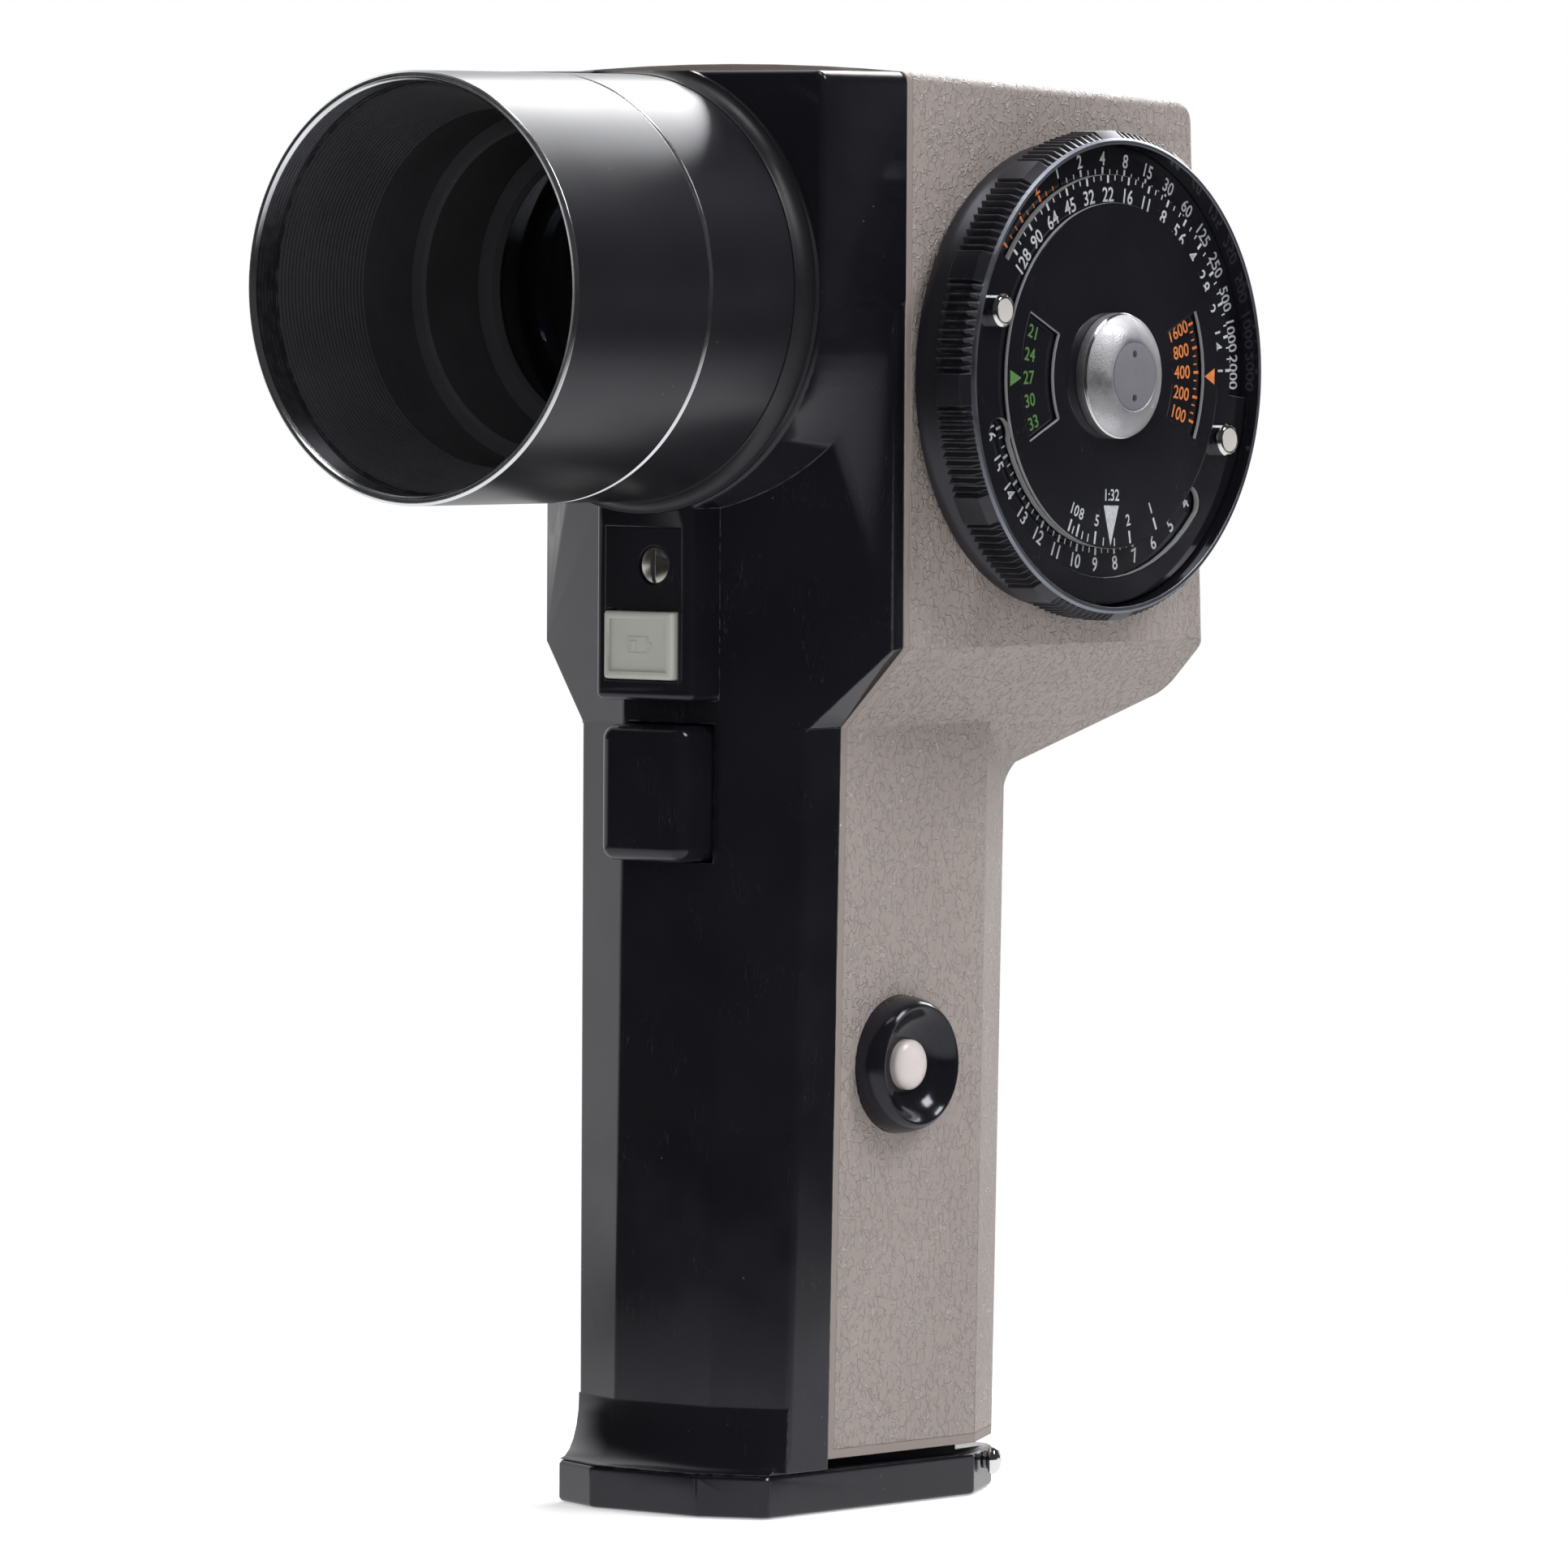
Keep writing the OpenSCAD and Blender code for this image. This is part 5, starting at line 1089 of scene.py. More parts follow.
# %% [markdown]
# ## Barrel and lens
# The barrel is turned aluminium, anodised black. Its front rim has a bare, bright bevel, and a second
# bright line lies in the groove behind the hood. Inside, fine threads take a filter, and a ribbed cone
# keeps stray light off the lens. Threads and ribs are drawn in the outlines, so that they cast their
# own fine shadows.

# %% Hood and barrel
LENS = (0.0, LENS_Z)
BARREL_R = 24.7
FILTER_R = 23.6
SEAT_R = 23.3
BORE_R = 20.5
GROOVE_AT = -33.3
RIM_AT = -57.0
BAFFLE_AT = RIM_AT + 3.8
BORE_AT = RIM_AT + 15.5
SPIGOT_AT = GROOVE_AT - 5.7
ROOT_AT = -18.4
BLOCK_AT = -15.5


def radius_in_barrel(x, z):
    return math.hypot(x, z - LENS_Z)


rim = [(FILTER_R + 0.35, RIM_AT + 0.02), (FILTER_R + 0.7, RIM_AT), (BARREL_R - 0.3, RIM_AT),
       (BARREL_R, RIM_AT + 0.3), (BARREL_R, GROOVE_AT - 0.4), (BARREL_R - 0.4, GROOVE_AT),
       (SEAT_R, GROOVE_AT), (SEAT_R, BAFFLE_AT)]
hood = rounded(rim, 0.07, 3) + [(FILTER_R, BAFFLE_AT)]
hood += thread(FILTER_R, RIM_AT + 0.4, BAFFLE_AT - 0.2, 0.5, 0.22)[::-1]
hood_tube = turned_piece("hood_tube_turned", hood, "Y", LENS, 256, [LENS_BLACK, BARE_RIM], "case",
                         "black_anodised", "hood_tube")
paint(hood_tube, 1, lambda x, y, z, n: y < RIM_AT + 0.33)
paint(hood_tube, 1, lambda x, y, z, n: y > GROOVE_AT - 0.42 and radius_in_barrel(x, z) > SEAT_R)

body = [(BORE_R, SPIGOT_AT), (SEAT_R - 0.03, SPIGOT_AT), (SEAT_R - 0.03, GROOVE_AT),
        (BARREL_R - 0.3, GROOVE_AT), (BARREL_R, GROOVE_AT + 0.3), (BARREL_R, ROOT_AT),
        (BARREL_R - 0.5, ROOT_AT), (BARREL_R - 0.5, BLOCK_AT), (18.93, BLOCK_AT), (18.93, -20.5),
        (BORE_R, -20.5)]
SCREW_R = 21.4
barrel_mesh = turned(rounded(body, 0.09, 3), "Y", LENS, 256)
for angle in range(45, 360, 90):
    turn = math.radians(angle)
    place = (SCREW_R * math.cos(turn), LENS_Z + SCREW_R * math.sin(turn))
    hole = turned([(0, -20), (1, -20), (1, -15), (0, -15)], "Y", place, 24)
    barrel_mesh = combined(barrel_mesh, hole, "DIFFERENCE")
barrel = piece("barrel_turned", shaded(barrel_mesh, 40), [LENS_BLACK, BARE_RIM, BAFFLE_BLACK], "case",
               "black_anodised", "barrel")
paint(barrel, 2, lambda x, y, z, n: radius_in_barrel(x, z) < BORE_R + 0.1)
paint(barrel, 1, lambda x, y, z, n: 0.02 < y - GROOVE_AT < 0.29 and radius_in_barrel(x, z) > BARREL_R - 0.3)

FLARE_OUT = 1.3
FLARE_LONG = 2.0
collar = [(BARREL_R - 0.47, BLOCK_AT), (BARREL_R - 0.47, ROOT_AT + 0.1), (BARREL_R + 0.06, ROOT_AT + 0.1)]
for step in range(9):
    turn = math.radians(90 * step / 8)
    outward = BARREL_R + 0.1 + FLARE_OUT * (1 - math.cos(turn))
    collar.append((outward, ROOT_AT + 0.2 + FLARE_LONG * math.sin(turn)))
collar.append((26.1, BLOCK_AT))
flat_top = block_mesh("room", (-27, 27), (-20, -10), (LENS_Z - 27, HEAD_TOP))
collar_mesh = combined(turned(collar, "Y", LENS, 256), flat_top, "INTERSECT")
piece("barrel_collar_turned", shaded(collar_mesh, 35), COLLAR_BLACK, "case", "black_shell", "barrel_collar")

# %% Baffle, cell and lenses
RIBS = 24
RIB_CUT = 0.26
rib_step = (BORE_AT - BAFFLE_AT) / RIBS
wide = SEAT_R - 0.4
fall = (wide - BORE_R) / RIBS
cone = [(SEAT_R - 0.04, BAFFLE_AT)]
for k in range(RIBS):
    crest = wide - fall * k
    cut = crest - fall + RIB_CUT
    cone += [(r, BAFFLE_AT + rib_step * (k + share))
             for r, share in ((crest, 0), (crest, 0.35), (cut, 0.5), (cut, 0.85))]
cone += [(BORE_R, BORE_AT), (BORE_R, SPIGOT_AT), (SEAT_R - 0.04, SPIGOT_AT)]
turned_piece("baffle_turned", cone, "Y", LENS, 200, BAFFLE_BLACK, "case", "black_anodised", "baffle")

GLASS_AT = -22.0
GLASS_R = 17.0
GLASS_CROWN = 2.2
RING_BORE = 16.0
RING_OUT = BORE_R - 2.05
ring = moved([(RING_BORE, -0.35), (RING_BORE, -0.6), (RING_BORE + 0.4, -1.6), (RING_OUT, -1.6), (RING_OUT, 0),
              (GLASS_R + 0.1, 0)], GLASS_AT)
turned_piece("lens_ring_turned", rounded(ring, 0.1, 3), "Y", LENS, 200, BAFFLE_BLACK, "case",
             "black_anodised", "lens_ring")
sphere = (GLASS_R ** 2 + GLASS_CROWN ** 2) / (2 * GLASS_CROWN)
face = []
for step in range(25):
    turn = math.asin(GLASS_R / sphere) * step / 24
    face.append((sphere * math.sin(turn), GLASS_AT - (sphere * math.cos(turn) - (sphere - GLASS_CROWN))))
face += [(GLASS_R, GLASS_AT + 6), (0, GLASS_AT + 6)]
turned_piece("front_lens_ground", face, "Y", LENS, 200, LENS_GLASS, "case", "optical_glass", "front_lens",
             weighted=False)

# %% [markdown]
# ## The calculator dial
# A flat ring with a knurled rim carries the time scale. A second disc inside it carries the stops and
# film speeds, with a window onto the time scale, and a plate in the middle stays still. Angles are read
# clockwise from the top, as one reads the dial itself.

# %% Dial places and the flange
DIAL = (27.9, 132.4)
FLANGE_X = 31.0
RING_X = 31.2
RING_FRONT = 36.2
RING_R = 28.5
LIP_R = 27.0
RING_BORE_R = 22.0
SCALE_BACK = 32.7
SCALE_X = 33.6
SPEED_FRONT = 34.6
PLATE_FRONT = 35.3
BLOCKS = 12
BLOCK_ANGLE = 8.0
FIRST_BLOCK = -3.0


def on_dial(r, angle):
    """A place on the dial in Y, from the seam, and Z."""
    return DIAL[0] + r * math.sin(math.radians(angle)), DIAL[1] + r * math.cos(math.radians(angle))


flange = [(8.15, PAD_X), (27.3, PAD_X), (27.22, PAD_X + 0.9), (26.98, PAD_X + 1.5), (26.65, PAD_X + 2.1),
          (26.38, PAD_X + 2.8), (26.3, FLANGE_X), (16.5, FLANGE_X), (16.5, 29.0), (4.15, 29.0), (4.15, 28.3),
          (8.15, 28.3)]
turned_piece("dial_flange_turned", rounded(flange, 0.12, 3), "X", DIAL, 256, DIAL_SATIN, "case",
             "black_anodised", "dial_flange")

# %% [markdown]
# The ring's rim has runs of V-shaped teeth between smooth thumb blocks. On the lathe such teeth are
# pressed in by a knurling wheel, and the front is then turned to a cone, so that they end in a slope.
# The same outline is used for each section along the axis, with its radius held below the cone's.

# %% The knurled ring
TEETH = 10
TOOTH = 0.68
run = 360 / BLOCKS - BLOCK_ANGLE
pitch = run / TEETH
rim = []
for number in range(BLOCKS):
    middle = FIRST_BLOCK + 360 / BLOCKS * number
    for share in (-1, -0.93, -0.7, -0.35, 0, 0.35, 0.7, 0.93, 1):
        rim.append((RING_R + (0.1 if abs(share) < 1 else -0.3), middle + share * BLOCK_ANGLE / 2))
    for k in range(TEETH):
        start = middle + BLOCK_ANGLE / 2 + pitch * k
        rim += [(RING_R - TOOTH, start + 0.1 * pitch), (RING_R - 0.02, start + 0.5 * pitch),
                (RING_R - 0.02, start + 0.6 * pitch), (RING_R - TOOTH, start + 0.9 * pitch)]


def rim_section(x, most=99.0, bore=None):
    """The rim's outline at one place along the axis, or a plain circle with as many points."""
    return [(x, *on_dial(bore or min(r, most), angle)) for r, angle in rim]


sections = [rim_section(RING_X), rim_section(RING_FRONT - 1.3), rim_section(RING_FRONT - 0.3, LIP_R + 0.75),
            rim_section(RING_FRONT, LIP_R + 0.45), rim_section(RING_FRONT, bore=LIP_R + 0.06),
            rim_section(RING_FRONT - 0.06, bore=LIP_R), rim_section(SCALE_BACK, bore=LIP_R),
            rim_section(SCALE_BACK, bore=RING_BORE_R), rim_section(RING_X, bore=RING_BORE_R)]
knurled = piece("knurled_ring_cut", shaded(skinned("ring", sections, True), 25, False),
                [KNURL_BLACK, BARE_LIP, DIAL_BLACK], "exposure_ring", "black_anodised", "knurled_ring")


def radius_on_dial(y, z):
    return math.hypot(y - DIAL[0], z - DIAL[1])


paint(knurled, 1, lambda x, y, z, n: x > RING_FRONT - 0.32 and LIP_R < radius_on_dial(y, z) < LIP_R + 0.76)
paint(knurled, 2, lambda x, y, z, n: radius_on_dial(y, z) < LIP_R + 0.01 and x < RING_FRONT - 0.1)

# %% [markdown]
# The discs keep the plates of the construction model, with a tenth of a millimetre off their edges. The
# walls of the windows are painted light grey, a painted highlight on their cut edges, and show as light
# lines round each opening.

# %% The three discs
scale = [(4.05, 29.9), (6.5, 29.9), (6.5, SCALE_BACK), (LIP_R - 0.04, SCALE_BACK), (LIP_R - 0.04, SCALE_X),
         (4.05, SCALE_X)]
turned_piece("scale_disc_turned", rounded(scale, 0.06, 2), "X", DIAL, 200, DIAL_BLACK, "exposure_ring",
             "gloss_black", "scale_disc")
speed = piece("speed_disc_cut", shaded(bevelled(copy_of("speed_disc"), 0.1), 30), [DIAL_BLACK, CUT_EDGE_HIGHLIGHT],
              "film_speed_disc", "gloss_black", "speed_disc")
# The window walls get the light grey: a painted highlight.
paint(speed, 1, lambda x, y, z, n: abs(n.x) < 0.4 and radius_on_dial(y, z) > 15)
plate = piece("center_plate_cut", shaded(bevelled(copy_of("center_plate"), 0.1), 30), [DIAL_BLACK, CUT_EDGE_HIGHLIGHT],
              "case", "gloss_black", "center_plate")
# The window walls get the light grey: a painted highlight.
paint(plate, 1, lambda x, y, z, n: abs(n.x) < 0.4 and radius_on_dial(y, z) > 8)

# %% Hub and grip pins
HUB_TOP = PLATE_FRONT + 3.1
HUB_BORE = 3.05
cap = moved([(HUB_BORE, 0), (7.35, 0), (7.35, 1.2), (7.22, 1.3), (7.13, 1.32), (7.13, 1.45), (7.2, 1.5),
             (7.0, 1.68), (6.5, 2.05), (5.9, 2.45), (5.2, 2.8), (4.5, 3.05), (4.2, 3.1), (4.03, 3.05),
             (4.03, 1.0), (HUB_BORE, 1.0)], PLATE_FRONT)
hub = turned_piece("hub_cap_turned", rounded(cap, 0.1, 3), "X", DIAL, 200, [BLASTED, BRIGHT_LINE], "case",
                   "turned_aluminium", "hub_cap")
paint(hub, 1, lambda x, y, z, n: PLATE_FRONT + 1.2 < x < PLATE_FRONT + 1.6 and radius_on_dial(y, z) > 7.0)
insert = moved([(HUB_BORE, -2.1), (3.98, -2.1), (3.98, 0), (0, 0), (0, -0.6), (HUB_BORE, -0.6)], HUB_TOP)
insert_mesh = turned(rounded(insert, 0.06, 2), "X", DIAL, 128)
spanner_hole = moved([(0, -0.5), (0.42, -0.5), (0.42, 1), (0, 1)], HUB_TOP)
for up in (-2.56, 2.56):
    hole = turned(spanner_hole, "X", (DIAL[0], DIAL[1] + up), 32)
    insert_mesh = combined(insert_mesh, hole, "DIFFERENCE")
piece("hub_insert", shaded(insert_mesh, 40), MATT_INSERT, "case", "plain_steel", "hub_nut")

PIN_ANGLE = -70.4
PIN_R = 22.9
pin = moved([(0, 0), (1.95, 0), (1.95, 1.1), (1.68, 1.42), (1.5, 1.5), (1.38, 1.46), (0, 1.44)], SPEED_FRONT)
pins = [turned(pin, "X", on_dial(PIN_R, angle), 64) for angle in (PIN_ANGLE, PIN_ANGLE + 180)]
pins = piece("grip_pins_turned", shaded(merged("pins", pins), 25, False), [CHROME, PIN_FACE],
             "film_speed_disc", "bright_chrome", "grip_pins")
# The pins' faces get the light grey: a painted reflection.
paint(pins, 1, lambda x, y, z, n: n.x > 0.95 and x < SPEED_FRONT + 1.455)

# %% [markdown]
# ## The scales
# Each number is a text object made into a mesh, then laid on its disc by two directions: the way it
# reads and the way its top points. Marks come from the node tree. Everything printed on one disc rides
# with that disc, so the dial still works when it is turned. The stops, times and light values follow one
# rule: a step of one stop is a fixed angle.

# %% Lettering helpers
INK = 0.012
STOP_ANGLE = 10.0
DIGIT_SQUEEZE = 0.92
FONT_HEIGHT = 0.73
X_AXIS = Vector((1, 0, 0))


def digits(text, height):
    """A line of digits as a flat solid round its own middle, in millimetres."""
    curve = bpy.data.curves.new("digits", "FONT")
    curve.body = text
    curve.size = 1.0
    curve.align_x = "CENTER"
    curve.align_y = "CENTER"
    curve.resolution_u = 3
    curve.extrude = 0.5
    curve.offset = 0.012
    mesh = evaluated(scratch_object(curve))
    for vertex in mesh.vertices:
        vertex.co.x *= height * DIGIT_SQUEEZE / FONT_HEIGHT
        vertex.co.y *= height / FONT_HEIGHT
        vertex.co.z *= INK
    return mesh


def laid(mesh, x, angle, r, reading):
    """Lays a flat mesh on the dial. It reads clockwise, anticlockwise, inwards or outwards."""
    a = math.radians(angle)
    outward = Vector((0, math.sin(a), math.cos(a)))
    clockwise = Vector((0, math.cos(a), -math.sin(a)))
    ways = {"clockwise": clockwise, "anticlockwise": -clockwise, "inwards": -outward, "outwards": outward}
    along = ways[reading]
    up = X_AXIS.cross(along)
    y, z = on_dial(r, angle)
    origin = Vector((x + INK / 2, y + SEAM_Y, z))
    for vertex in mesh.vertices:
        vertex.co = (origin + along * vertex.co.x + up * vertex.co.y + X_AXIS * vertex.co.z) * MM
    return mesh


def numbers(texts, height, x, first, r, reading, step=STOP_ANGLE):
    """A run of numbers, the first one at an angle and the others a step further each."""
    return [laid(digits(text, height), x, first + step * k, r, reading) for k, text in enumerate(texts)]


def marks(x, count, start, step, r_in, r_out, width, finish):
    """A run of marks between two radii."""
    size = (INK, width, r_out - r_in)
    return bars(count, start, step, (r_in + r_out) / 2, size, (x + INK / 2, *DIAL), finish)


def stops(x, count, start, r_in, r_out, short, finish):
    """A long mark for each stop and two short marks between. The short ones start at the inner radius,
    or at the outer one if their length is given as negative."""
    ends = (r_in, r_in + short) if short > 0 else (r_out + short, r_out)
    runs = [marks(x, count, start, STOP_ANGLE, r_in, r_out, 0.34, finish)]
    for third in (1, 2):
        runs.append(marks(x, count - 1, start + STOP_ANGLE * third / 3, STOP_ANGLE, *ends, 0.17, finish))
    return runs


def triangle(x, angle, r, height, half, inward):
    """A small pointer that points along the radius."""
    tip = -height / 2 if inward else height / 2
    outline = [(-half, -tip), (half, -tip), (0, tip)]
    bm = bmesh.new()
    loops = [[bm.verts.new((u, v, w)) for u, v in outline] for w in (-INK / 2, INK / 2)]
    for k in range(3):
        bm.faces.new([loops[0][k], loops[0][(k + 1) % 3], loops[1][(k + 1) % 3], loops[1][k]])
    bm.faces.new(loops[0])
    bm.faces.new(loops[1])
    bmesh.ops.recalc_face_normals(bm, faces=bm.faces)
    mesh = bpy.data.meshes.new("triangle")
    bm.to_mesh(mesh)
    bm.free()
    return laid(mesh, x, angle, r, "clockwise")


def printed(name, meshes, finish, body):
    return piece(name, merged(name, meshes), finish, body, "cream_print")


print("one stop is", STOP_ANGLE, "degrees")

# %% The time scale and the light values, on the knurled ring's disc
TIMES = ["1", "2", "4", "8", "15", "30", "60", "125", "250", "500", "1000", "2000"]
FIRST_TIME = -20.6
FIRST_VALUE = 113.2
TIME_R = 25.25
TIME_MARKS = (23.52, 24.35, 0.6)
times = numbers(TIMES, 1.65, SCALE_X, FIRST_TIME, TIME_R, "clockwise")
times += stops(SCALE_X, len(TIMES), FIRST_TIME, *TIME_MARKS, PRINT_GREY)
VALUES = [str(value) for value in range(2, 21)]
values = numbers(VALUES, 1.7, SCALE_X, FIRST_VALUE, 22.15, "anticlockwise")
values += stops(SCALE_X, len(VALUES), FIRST_VALUE, 20.1, 21.0, 0.65, PRINT_GREY)
printed("time_scale_print", times + values, PRINT_GREY, "exposure_ring")
LONG_TIMES = ["2", "4", "8", "15", "30"]
long_times = numbers(LONG_TIMES, 1.65, SCALE_X, FIRST_TIME - STOP_ANGLE, TIME_R, "clockwise", -STOP_ANGLE)
long_times += stops(SCALE_X, len(LONG_TIMES) + 1, FIRST_TIME - 5 * STOP_ANGLE, *TIME_MARKS, PRINT_ORANGE)
printed("long_time_print", long_times, PRINT_ORANGE, "exposure_ring")

# %% The stops and the film speeds
STOPS = ["128", "90", "64", "45", "32", "22", "16", "11", "8", "5.6", "4", "2.8", "2", "1.4", "1"]
FIRST_STOP = -51.2
apertures = numbers(STOPS, 1.75, SPEED_FRONT, FIRST_STOP, 21.05, "clockwise")
apertures += stops(SPEED_FRONT, len(STOPS), FIRST_STOP, 22.5, 23.4, -0.6, PRINT_GREY)
printed("stop_scale_print", apertures, PRINT_GREY, "film_speed_disc")
GREEN_SPEEDS = ["21", "24", "27", "30", "33"]
FIRST_GREEN = -70.7
ORANGE_SPEEDS = ["1600", "800", "400", "200", "100"]
FIRST_ORANGE = 69.0
green = numbers(GREEN_SPEEDS, 1.6, SPEED_FRONT, FIRST_GREEN, 15.3, "inwards", -STOP_ANGLE)
printed("din_print", green, PRINT_GREEN, "film_speed_disc")
orange = numbers(ORANGE_SPEEDS, 1.6, SPEED_FRONT, FIRST_ORANGE, 14.1, "outwards")
orange += stops(SPEED_FRONT, len(ORANGE_SPEEDS), FIRST_ORANGE, 16.3, 17.2, 0.6, PRINT_ORANGE)
printed("asa_print", orange, PRINT_ORANGE, "film_speed_disc")

# %% The plate in the middle
NUMBERED = (1, 2, 5, 8, 10)
BOTTOM = -178.7
angles = {value: 155.2 + 15.1 * math.log2(value) for value in range(1, 11)}
plate_marks = []
for value, angle in angles.items():
    low, width = (18.4, 0.32) if value in NUMBERED else (18.95, 0.18)
    plate_marks.append(marks(PLATE_FRONT, 1, angle, 1, low, 19.9, width, PRINT_GREY))
for value in NUMBERED:
    plate_marks += numbers([str(value)], 1.4, PLATE_FRONT, angles[value], 17.2, "anticlockwise")
plate_marks.append(laid(digits("1:32", 1.4), PLATE_FRONT, BOTTOM, 14.0, "anticlockwise"))
plate_marks.append(triangle(PLATE_FRONT, BOTTOM, 17.5, 4.7, 1.44, False))
printed("plate_print", plate_marks, PRINT_GREY, "case")
printed("green_pointer", [triangle(PLATE_FRONT, -90.4, 18.6, 2.1, 0.95, True)], PRINT_GREEN, "case")
printed("orange_pointer", [triangle(PLATE_FRONT, 90.6, 18.5, 1.9, 0.95, True)], PRINT_ORANGE, "case")

# %% [markdown]
# ## Eyepiece
# The focusing ring at the back has fine grip ribs, and a soft rubber eyecup is pressed onto it. The ribs
# are bars from the same node tree, this time round the lens axis.

# %% Eyepiece tube, focusing ring and eyecup
FOCUS_AT = HEAD_BACK + 0.4
FOCUS_LONG = 7.0
CUP_AT = FOCUS_AT + FOCUS_LONG
RIBS_AT = (0, FOCUS_AT + FOCUS_LONG / 2 - 0.2, LENS_Z)
focus = moved([(9.05, 0), (11.9, 0), (12.15, 0.3), (12.15, 0.9), (11.95, 1.1), (11.95, 5.5), (12.2, 5.7),
               (12.2, 6.5), (11.8, 7.0), (6.6, 7.0), (6.6, 6.2), (9.05, 6.2)], FOCUS_AT)
focus_mesh = turned(rounded(focus, 0.12, 3), "Y", LENS, 160)
ribs = bars(72, 0, 5, 12.0, (4.2, 0.5, 0.7), RIBS_AT, LENS_BLACK, along="Y")
piece("focus_ring_cut", shaded(merged("focus", [focus_mesh, ribs]), 40, False), LENS_BLACK, "eyepiece_ring",
      "black_anodised", "focus_ring")
cup = moved([(8.2, 0), (11.9, 0), (12.3, 1.4), (13.0, 2.6), (12.9, 3.2), (12.4, 3.5), (11.7, 3.3),
             (10.9, 2.4), (9.6, 1.0)], CUP_AT)
turned_piece("eyecup_moulded", rounded(cup, 0.3), "Y", LENS, 160, RUBBER, "eyepiece_ring", "black_rubber",
             "eyecup")

# %% [markdown]
# ## Base fittings
# A quarter inch bush takes a tripod screw, a coin screw holds the base cap, and a chromed stud at the
# back corner carries the wrist strap.

# %% Tripod bush, coin screw and strap stud
THREAD_R = 3.175
THREAD_PITCH = 1.27
bush = [(5.2, 0.0), (5.2, 5.0), (6.8, 5.0), (6.8, 6.4), (5.2, 6.4), (5.2, 8.5), (0, 8.5), (0, 7.5),
        (THREAD_R, 7.5)]
bush += thread(THREAD_R, 0.45, 7.3, THREAD_PITCH, 0.4)[::-1] + [(3.6, 0.0)]
turned_piece("tripod_bush_turned", bush, "Z", (0, 14.0), 96, BRASS, "case", "brass", "tripod_bush",
             weighted=False)
COIN_Y = -3.6
coin = [(0, 0.2), (3.55, 0.2), (3.55, 1.8), (2, 1.8), (2, 12), (0, 12)]
coin = turned(rounded(coin, 0.15, 3), "Z", (0, COIN_Y), 96)
coin = combined(coin, block_mesh("slot", (-5, 5), (COIN_Y - 0.5, COIN_Y + 0.5), (-1, 1.0)), "DIFFERENCE")
piece("coin_screw_turned", shaded(coin), STEEL, "base_screw", "plain_steel", "coin_screw")

lean = math.atan2(-(BACK_HALF_FOOT - FOOT_HALF), GRIP_BACK - GRIP_SIDE)
stud = rounded([(0, 0), (1.1, 0), (1.1, 0.6), (1.65, 0.75), (1.75, 1.1), (1.6, 1.55), (1.2, 1.9), (0.6, 2.1),
                (0, 2.15)], 0.2, 4, 10)
stud_mesh = turned(stud, "X", (0, 0), 48)
seat = Vector(((BACK_HALF_FOOT + FOOT_HALF) / 2, (GRIP_BACK + GRIP_SIDE) / 2 + SEAM_Y, 3.6)) * MM
to_middle = Matrix.Translation((0, -SEAM_Y * MM, 0))
stud_mesh.transform(Matrix.Translation(seat) @ Matrix.Rotation(lean, 4, "Z") @ to_middle)
piece("strap_stud_turned", shaded(stud_mesh, 40), CHROME, "case", "bright_chrome", "strap_lug")

# %% [markdown]
# ## Inside the meter
# The pieces that the casing hides keep the construction model's own shapes. They still get real
# finishes, because they show when the covers are taken off or the model is cut open.

# %% Finishes of the pieces that keep their shape
KEPT = [
    (CAST_ALU, "chassis prism_holder"),
    (SPRING_STEEL, "check_spring trigger_spring lamp_spring spring_washer detent_spring battery_contacts"),
    (SWITCH_GREY, "trigger_switch lamp_switch"),
    (BAFFLE_BLACK, "lens_cell"),
    (LENS_GLASS, "rear_lens eye_lens"),
    (LENS_BLACK, "eye_tube eye_cell"),
    (TURNED_ALU, "dial_shaft photocell"),
    (CHROME, "detent_ball"),
    (PRISM_GLASS, "beam_prism reticle"),
    (MAGNET, "meter_magnet"),
    (COPPER, "meter_coil"),
    (NEEDLE_PAINT, "meter_pointer"),
    (BRASS, "meter_bridges hair_spring"),
    (CREAM, "meter_scale"),
    (BOARD, "circuit_board"),
    (BATTERY, "battery"),
    (INNER_BLACK, "battery_holder"),
    (STEEL, "case_screws small_screws")]
for finish, names in KEPT:
    for name in names.split():
        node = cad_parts[name]
        if not node.material_slots:
            node.data.materials.append(finish)
        for slot in node.material_slots:
            slot.material = finish
print("finishes of kept shapes:", len(KEPT))

# %% [markdown]
# ## Floor, world and lamps
# The meter stands on a white table in front of a white backdrop. What the camera sees directly is plain
# white. What glossy surfaces see is a studio: the backdrop behind and to the left is bright, the room on
# the photographer's side and to the right is dark. Black plastic shows its colour only where it mirrors
# something dark, so this decides more than the lamps do. The lamps are large and soft, and the two in
# front light dull surfaces only: mirrors and glass don't show them.


# %% World
BACKDROP = Vector((-0.72, 0.62, 0.3)).normalized()
WHITE = (1.0, 1.0, 1.0, 1.0)
DARK_ROOM = 0.035
AMBIENT = 0.4


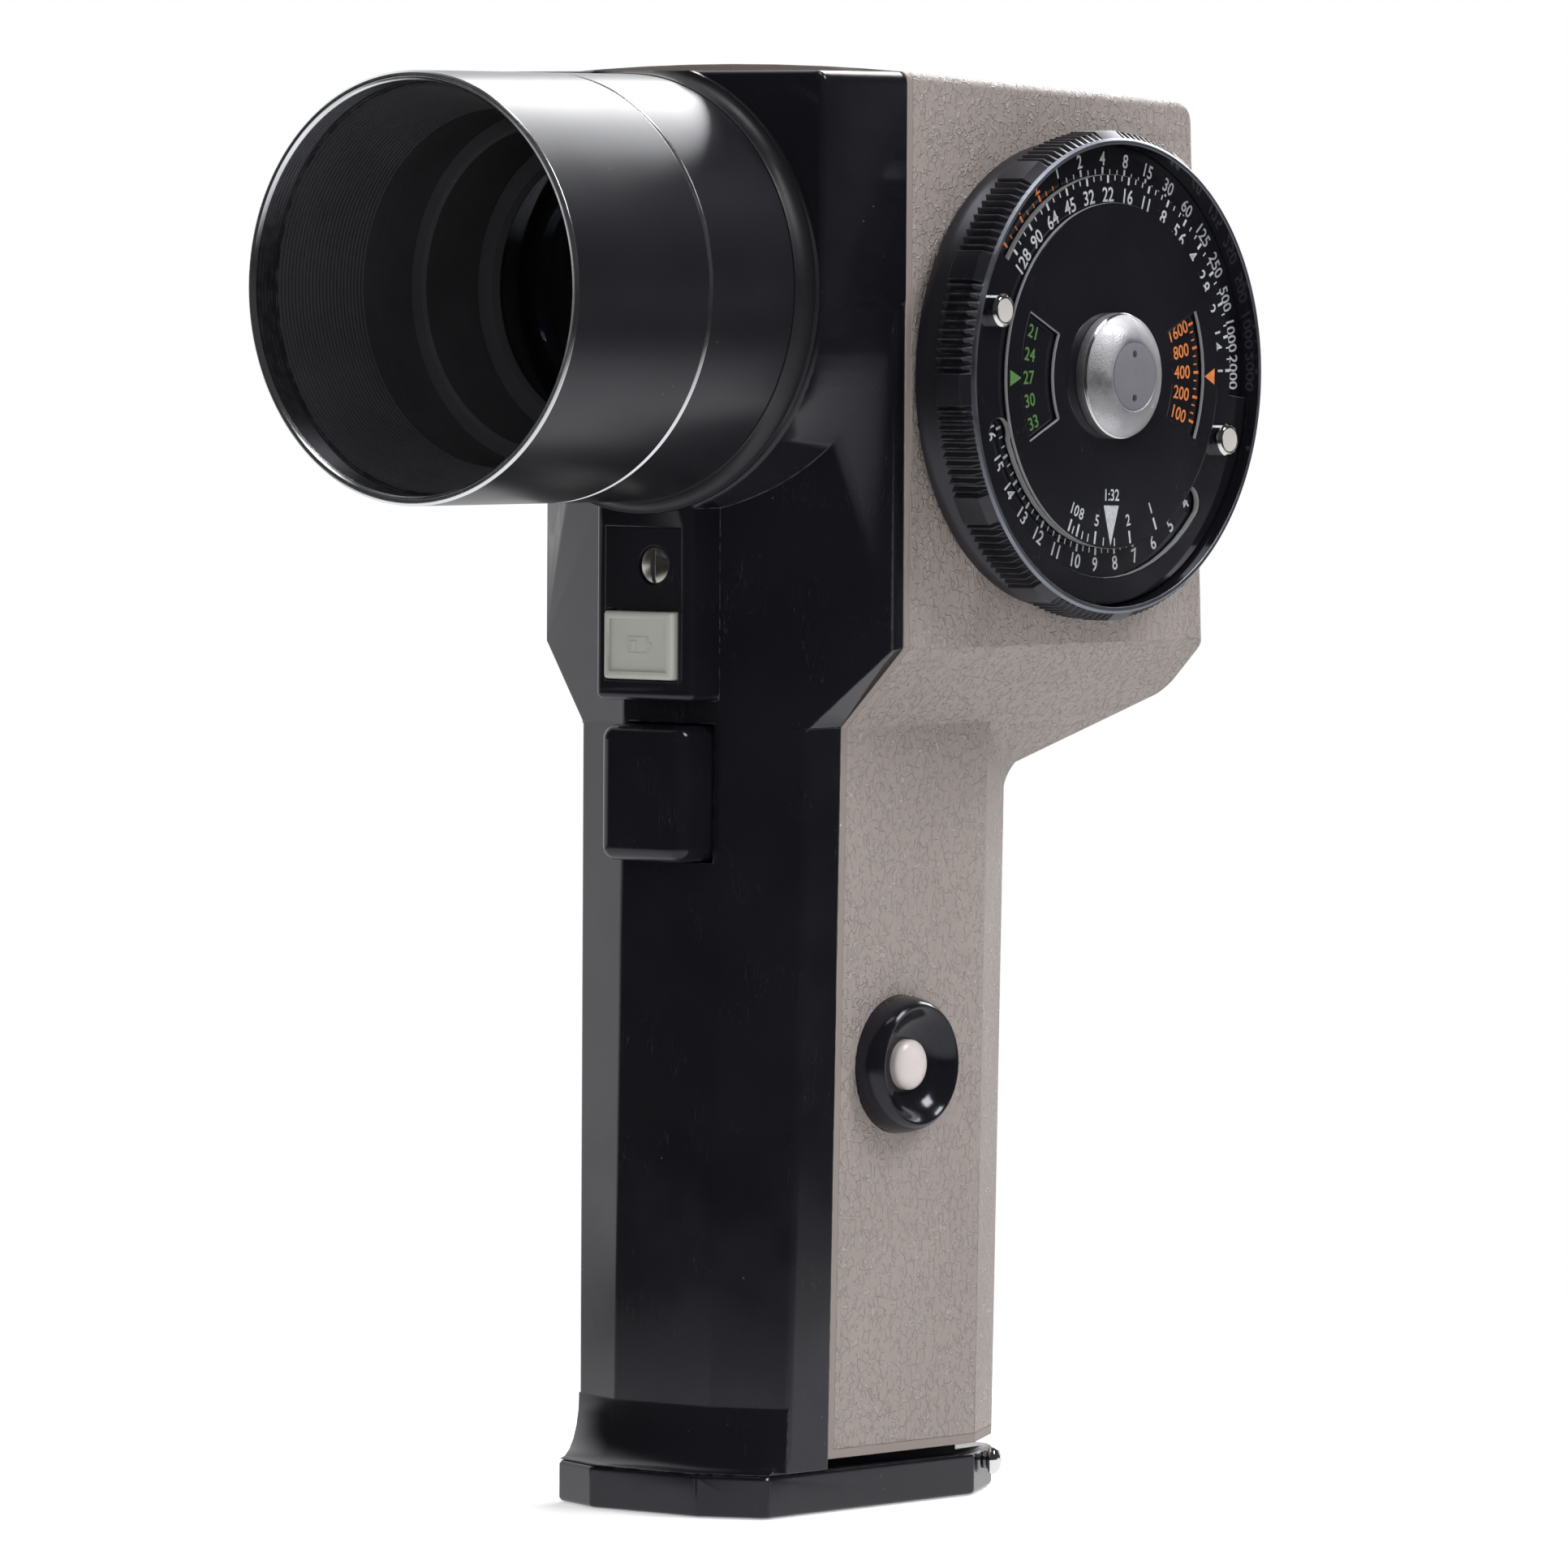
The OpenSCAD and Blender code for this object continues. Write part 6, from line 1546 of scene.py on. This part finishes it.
def studio_world():
    world = bpy.data.worlds.new("studio")
    world.use_nodes = True
    tree = world.node_tree
    tree.nodes.clear()
    node = partial(add_node, tree)

    def shining(strength):
        return node("ShaderNodeBackground", {"Color": WHITE, "Strength": strength}).outputs[0]

    ray = node("ShaderNodeLightPath", {}).outputs
    where = node("ShaderNodeTexCoord", {}).outputs["Generated"]
    toward = node("ShaderNodeVectorMath", {0: where, 1: BACKDROP}, operation="DOT_PRODUCT").outputs["Value"]
    band = {"Value": toward, "From Min": 0.45, "From Max": 0.85, "To Min": DARK_ROOM, "To Max": 1.0}
    shade = node("ShaderNodeMapRange", band, interpolation_type="SMOOTHSTEP").outputs["Result"]
    bounced = {0: ray["Is Glossy Ray"], 1: ray["Is Transmission Ray"]}
    glossy = node("ShaderNodeMath", bounced, operation="MAXIMUM")
    soft = node("ShaderNodeMixShader", {0: glossy.outputs[0], 1: shining(AMBIENT), 2: shining(shade)})
    whole = node("ShaderNodeMixShader", {0: ray["Is Camera Ray"], 1: soft.outputs[0], 2: shining(1.0)})
    node("ShaderNodeOutputWorld", {"Surface": whole.outputs[0]})
    return world


bpy.context.scene.world = studio_world()
bpy.context.scene.view_settings.view_transform = "Standard"
print("world:", bpy.context.scene.world.name)

# %% [markdown]
# Near the meter the table keeps its shadow. Further out it melts into the white background, as it does
# under a bright backdrop. For glossy rays it is bright near the meter and towards the backdrop, and dark
# elsewhere, like the world above it.


# %% Floor
TABLE_GLOW = 0.45


def floor_finish():
    """Pale diffuse table that reads as plain white to the camera, except in the meter's shadow."""
    made = Finish("white table", (0.8, 0.8, 0.8), 0.9)
    made.set(Specular_IOR_Level=0.1)
    made.mottle(3, 0.01).bumps(400, 0.01)
    made.done()

    def glow(strength):
        return made.node("ShaderNodeEmission", {"Color": WHITE, "Strength": strength}).outputs[0]

    ray = made.node("ShaderNodeLightPath", {}).outputs
    away = made.node("ShaderNodeVectorMath", {0: made.place}, operation="LENGTH").outputs["Value"]
    side = made.node("ShaderNodeVectorMath", {0: made.place, 1: (-0.76, 0.65, 0.0)}, operation="DOT_PRODUCT")
    near = made.ramp(away, 0.12, 0.42, 0.9, 0.02)
    behind = made.ramp(side.outputs["Value"], 0.1, 0.35, 0.0, 0.9)
    lift = glow(made.math("MULTIPLY", ray["Is Camera Ray"], TABLE_GLOW))
    table = made.node("ShaderNodeAddShader", {0: made.shader.outputs[0], 1: lift})
    far = made.math("MULTIPLY", made.ramp(away, 0.13, 0.3), ray["Is Camera Ray"])
    direct = made.node("ShaderNodeMixShader", {0: far, 1: table.outputs[0], 2: glow(1.0)})
    seen = made.math("MAXIMUM", ray["Is Glossy Ray"], ray["Is Transmission Ray"])
    mirror = glow(made.math("MAXIMUM", near, behind))
    whole = made.node("ShaderNodeMixShader", {0: seen, 1: direct.outputs[0], 2: mirror})
    out = next(n for n in made.tree.nodes if n.type == "OUTPUT_MATERIAL")
    made.tree.links.new(whole.outputs[0], out.inputs["Surface"])
    return made.material


floor_mesh = bpy.data.meshes.new("floor")
floor_mesh.from_pydata([(-4, -4, 0), (4, -4, 0), (4, 4, 0), (-4, 4, 0)], [], [(0, 1, 2, 3)])
floor = bpy.data.objects.new("floor", floor_mesh)
bpy.context.scene.collection.objects.link(floor)
floor.location.z = CAD_BOX[0].z - 0.0001
floor.data.materials.append(floor_finish())
print("floor at", round(floor.location.z * 1000, 2), "mm")


# %% Lamps
def softbox(name, place, aim, size, energy, mirrored=True):
    lamp = bpy.data.lights.new(name, "AREA")
    lamp.shape = "RECTANGLE"
    lamp.size, lamp.size_y = size
    lamp.energy = energy
    made = bpy.data.objects.new(name, lamp)
    made.location = place
    made.visible_glossy = mirrored
    made.visible_transmission = mirrored
    made.rotation_euler = (Vector(place) - Vector(aim)).to_track_quat("Z", "Y").to_euler()
    bpy.context.scene.collection.objects.link(made)
    return made


MIDDLE = (0.0, 0.0, 0.1)
softbox("back softbox", (-0.27, 0.98, 0.72), MIDDLE, (0.75, 0.45), 9.0)
softbox("top softbox", (0.1, -0.1, 1.25), MIDDLE, (0.5, 0.5), 3.0)
softbox("right softbox", (0.85, 0.35, 1.05), MIDDLE, (0.4, 0.5), 9.0)
softbox("front fill", (0.35, -1.3, 1.0), MIDDLE, (0.5, 0.4), 2.0, False)
softbox("low front fill", (0.95, -1.35, 0.4), MIDDLE, (0.3, 0.3), 5.0, False)
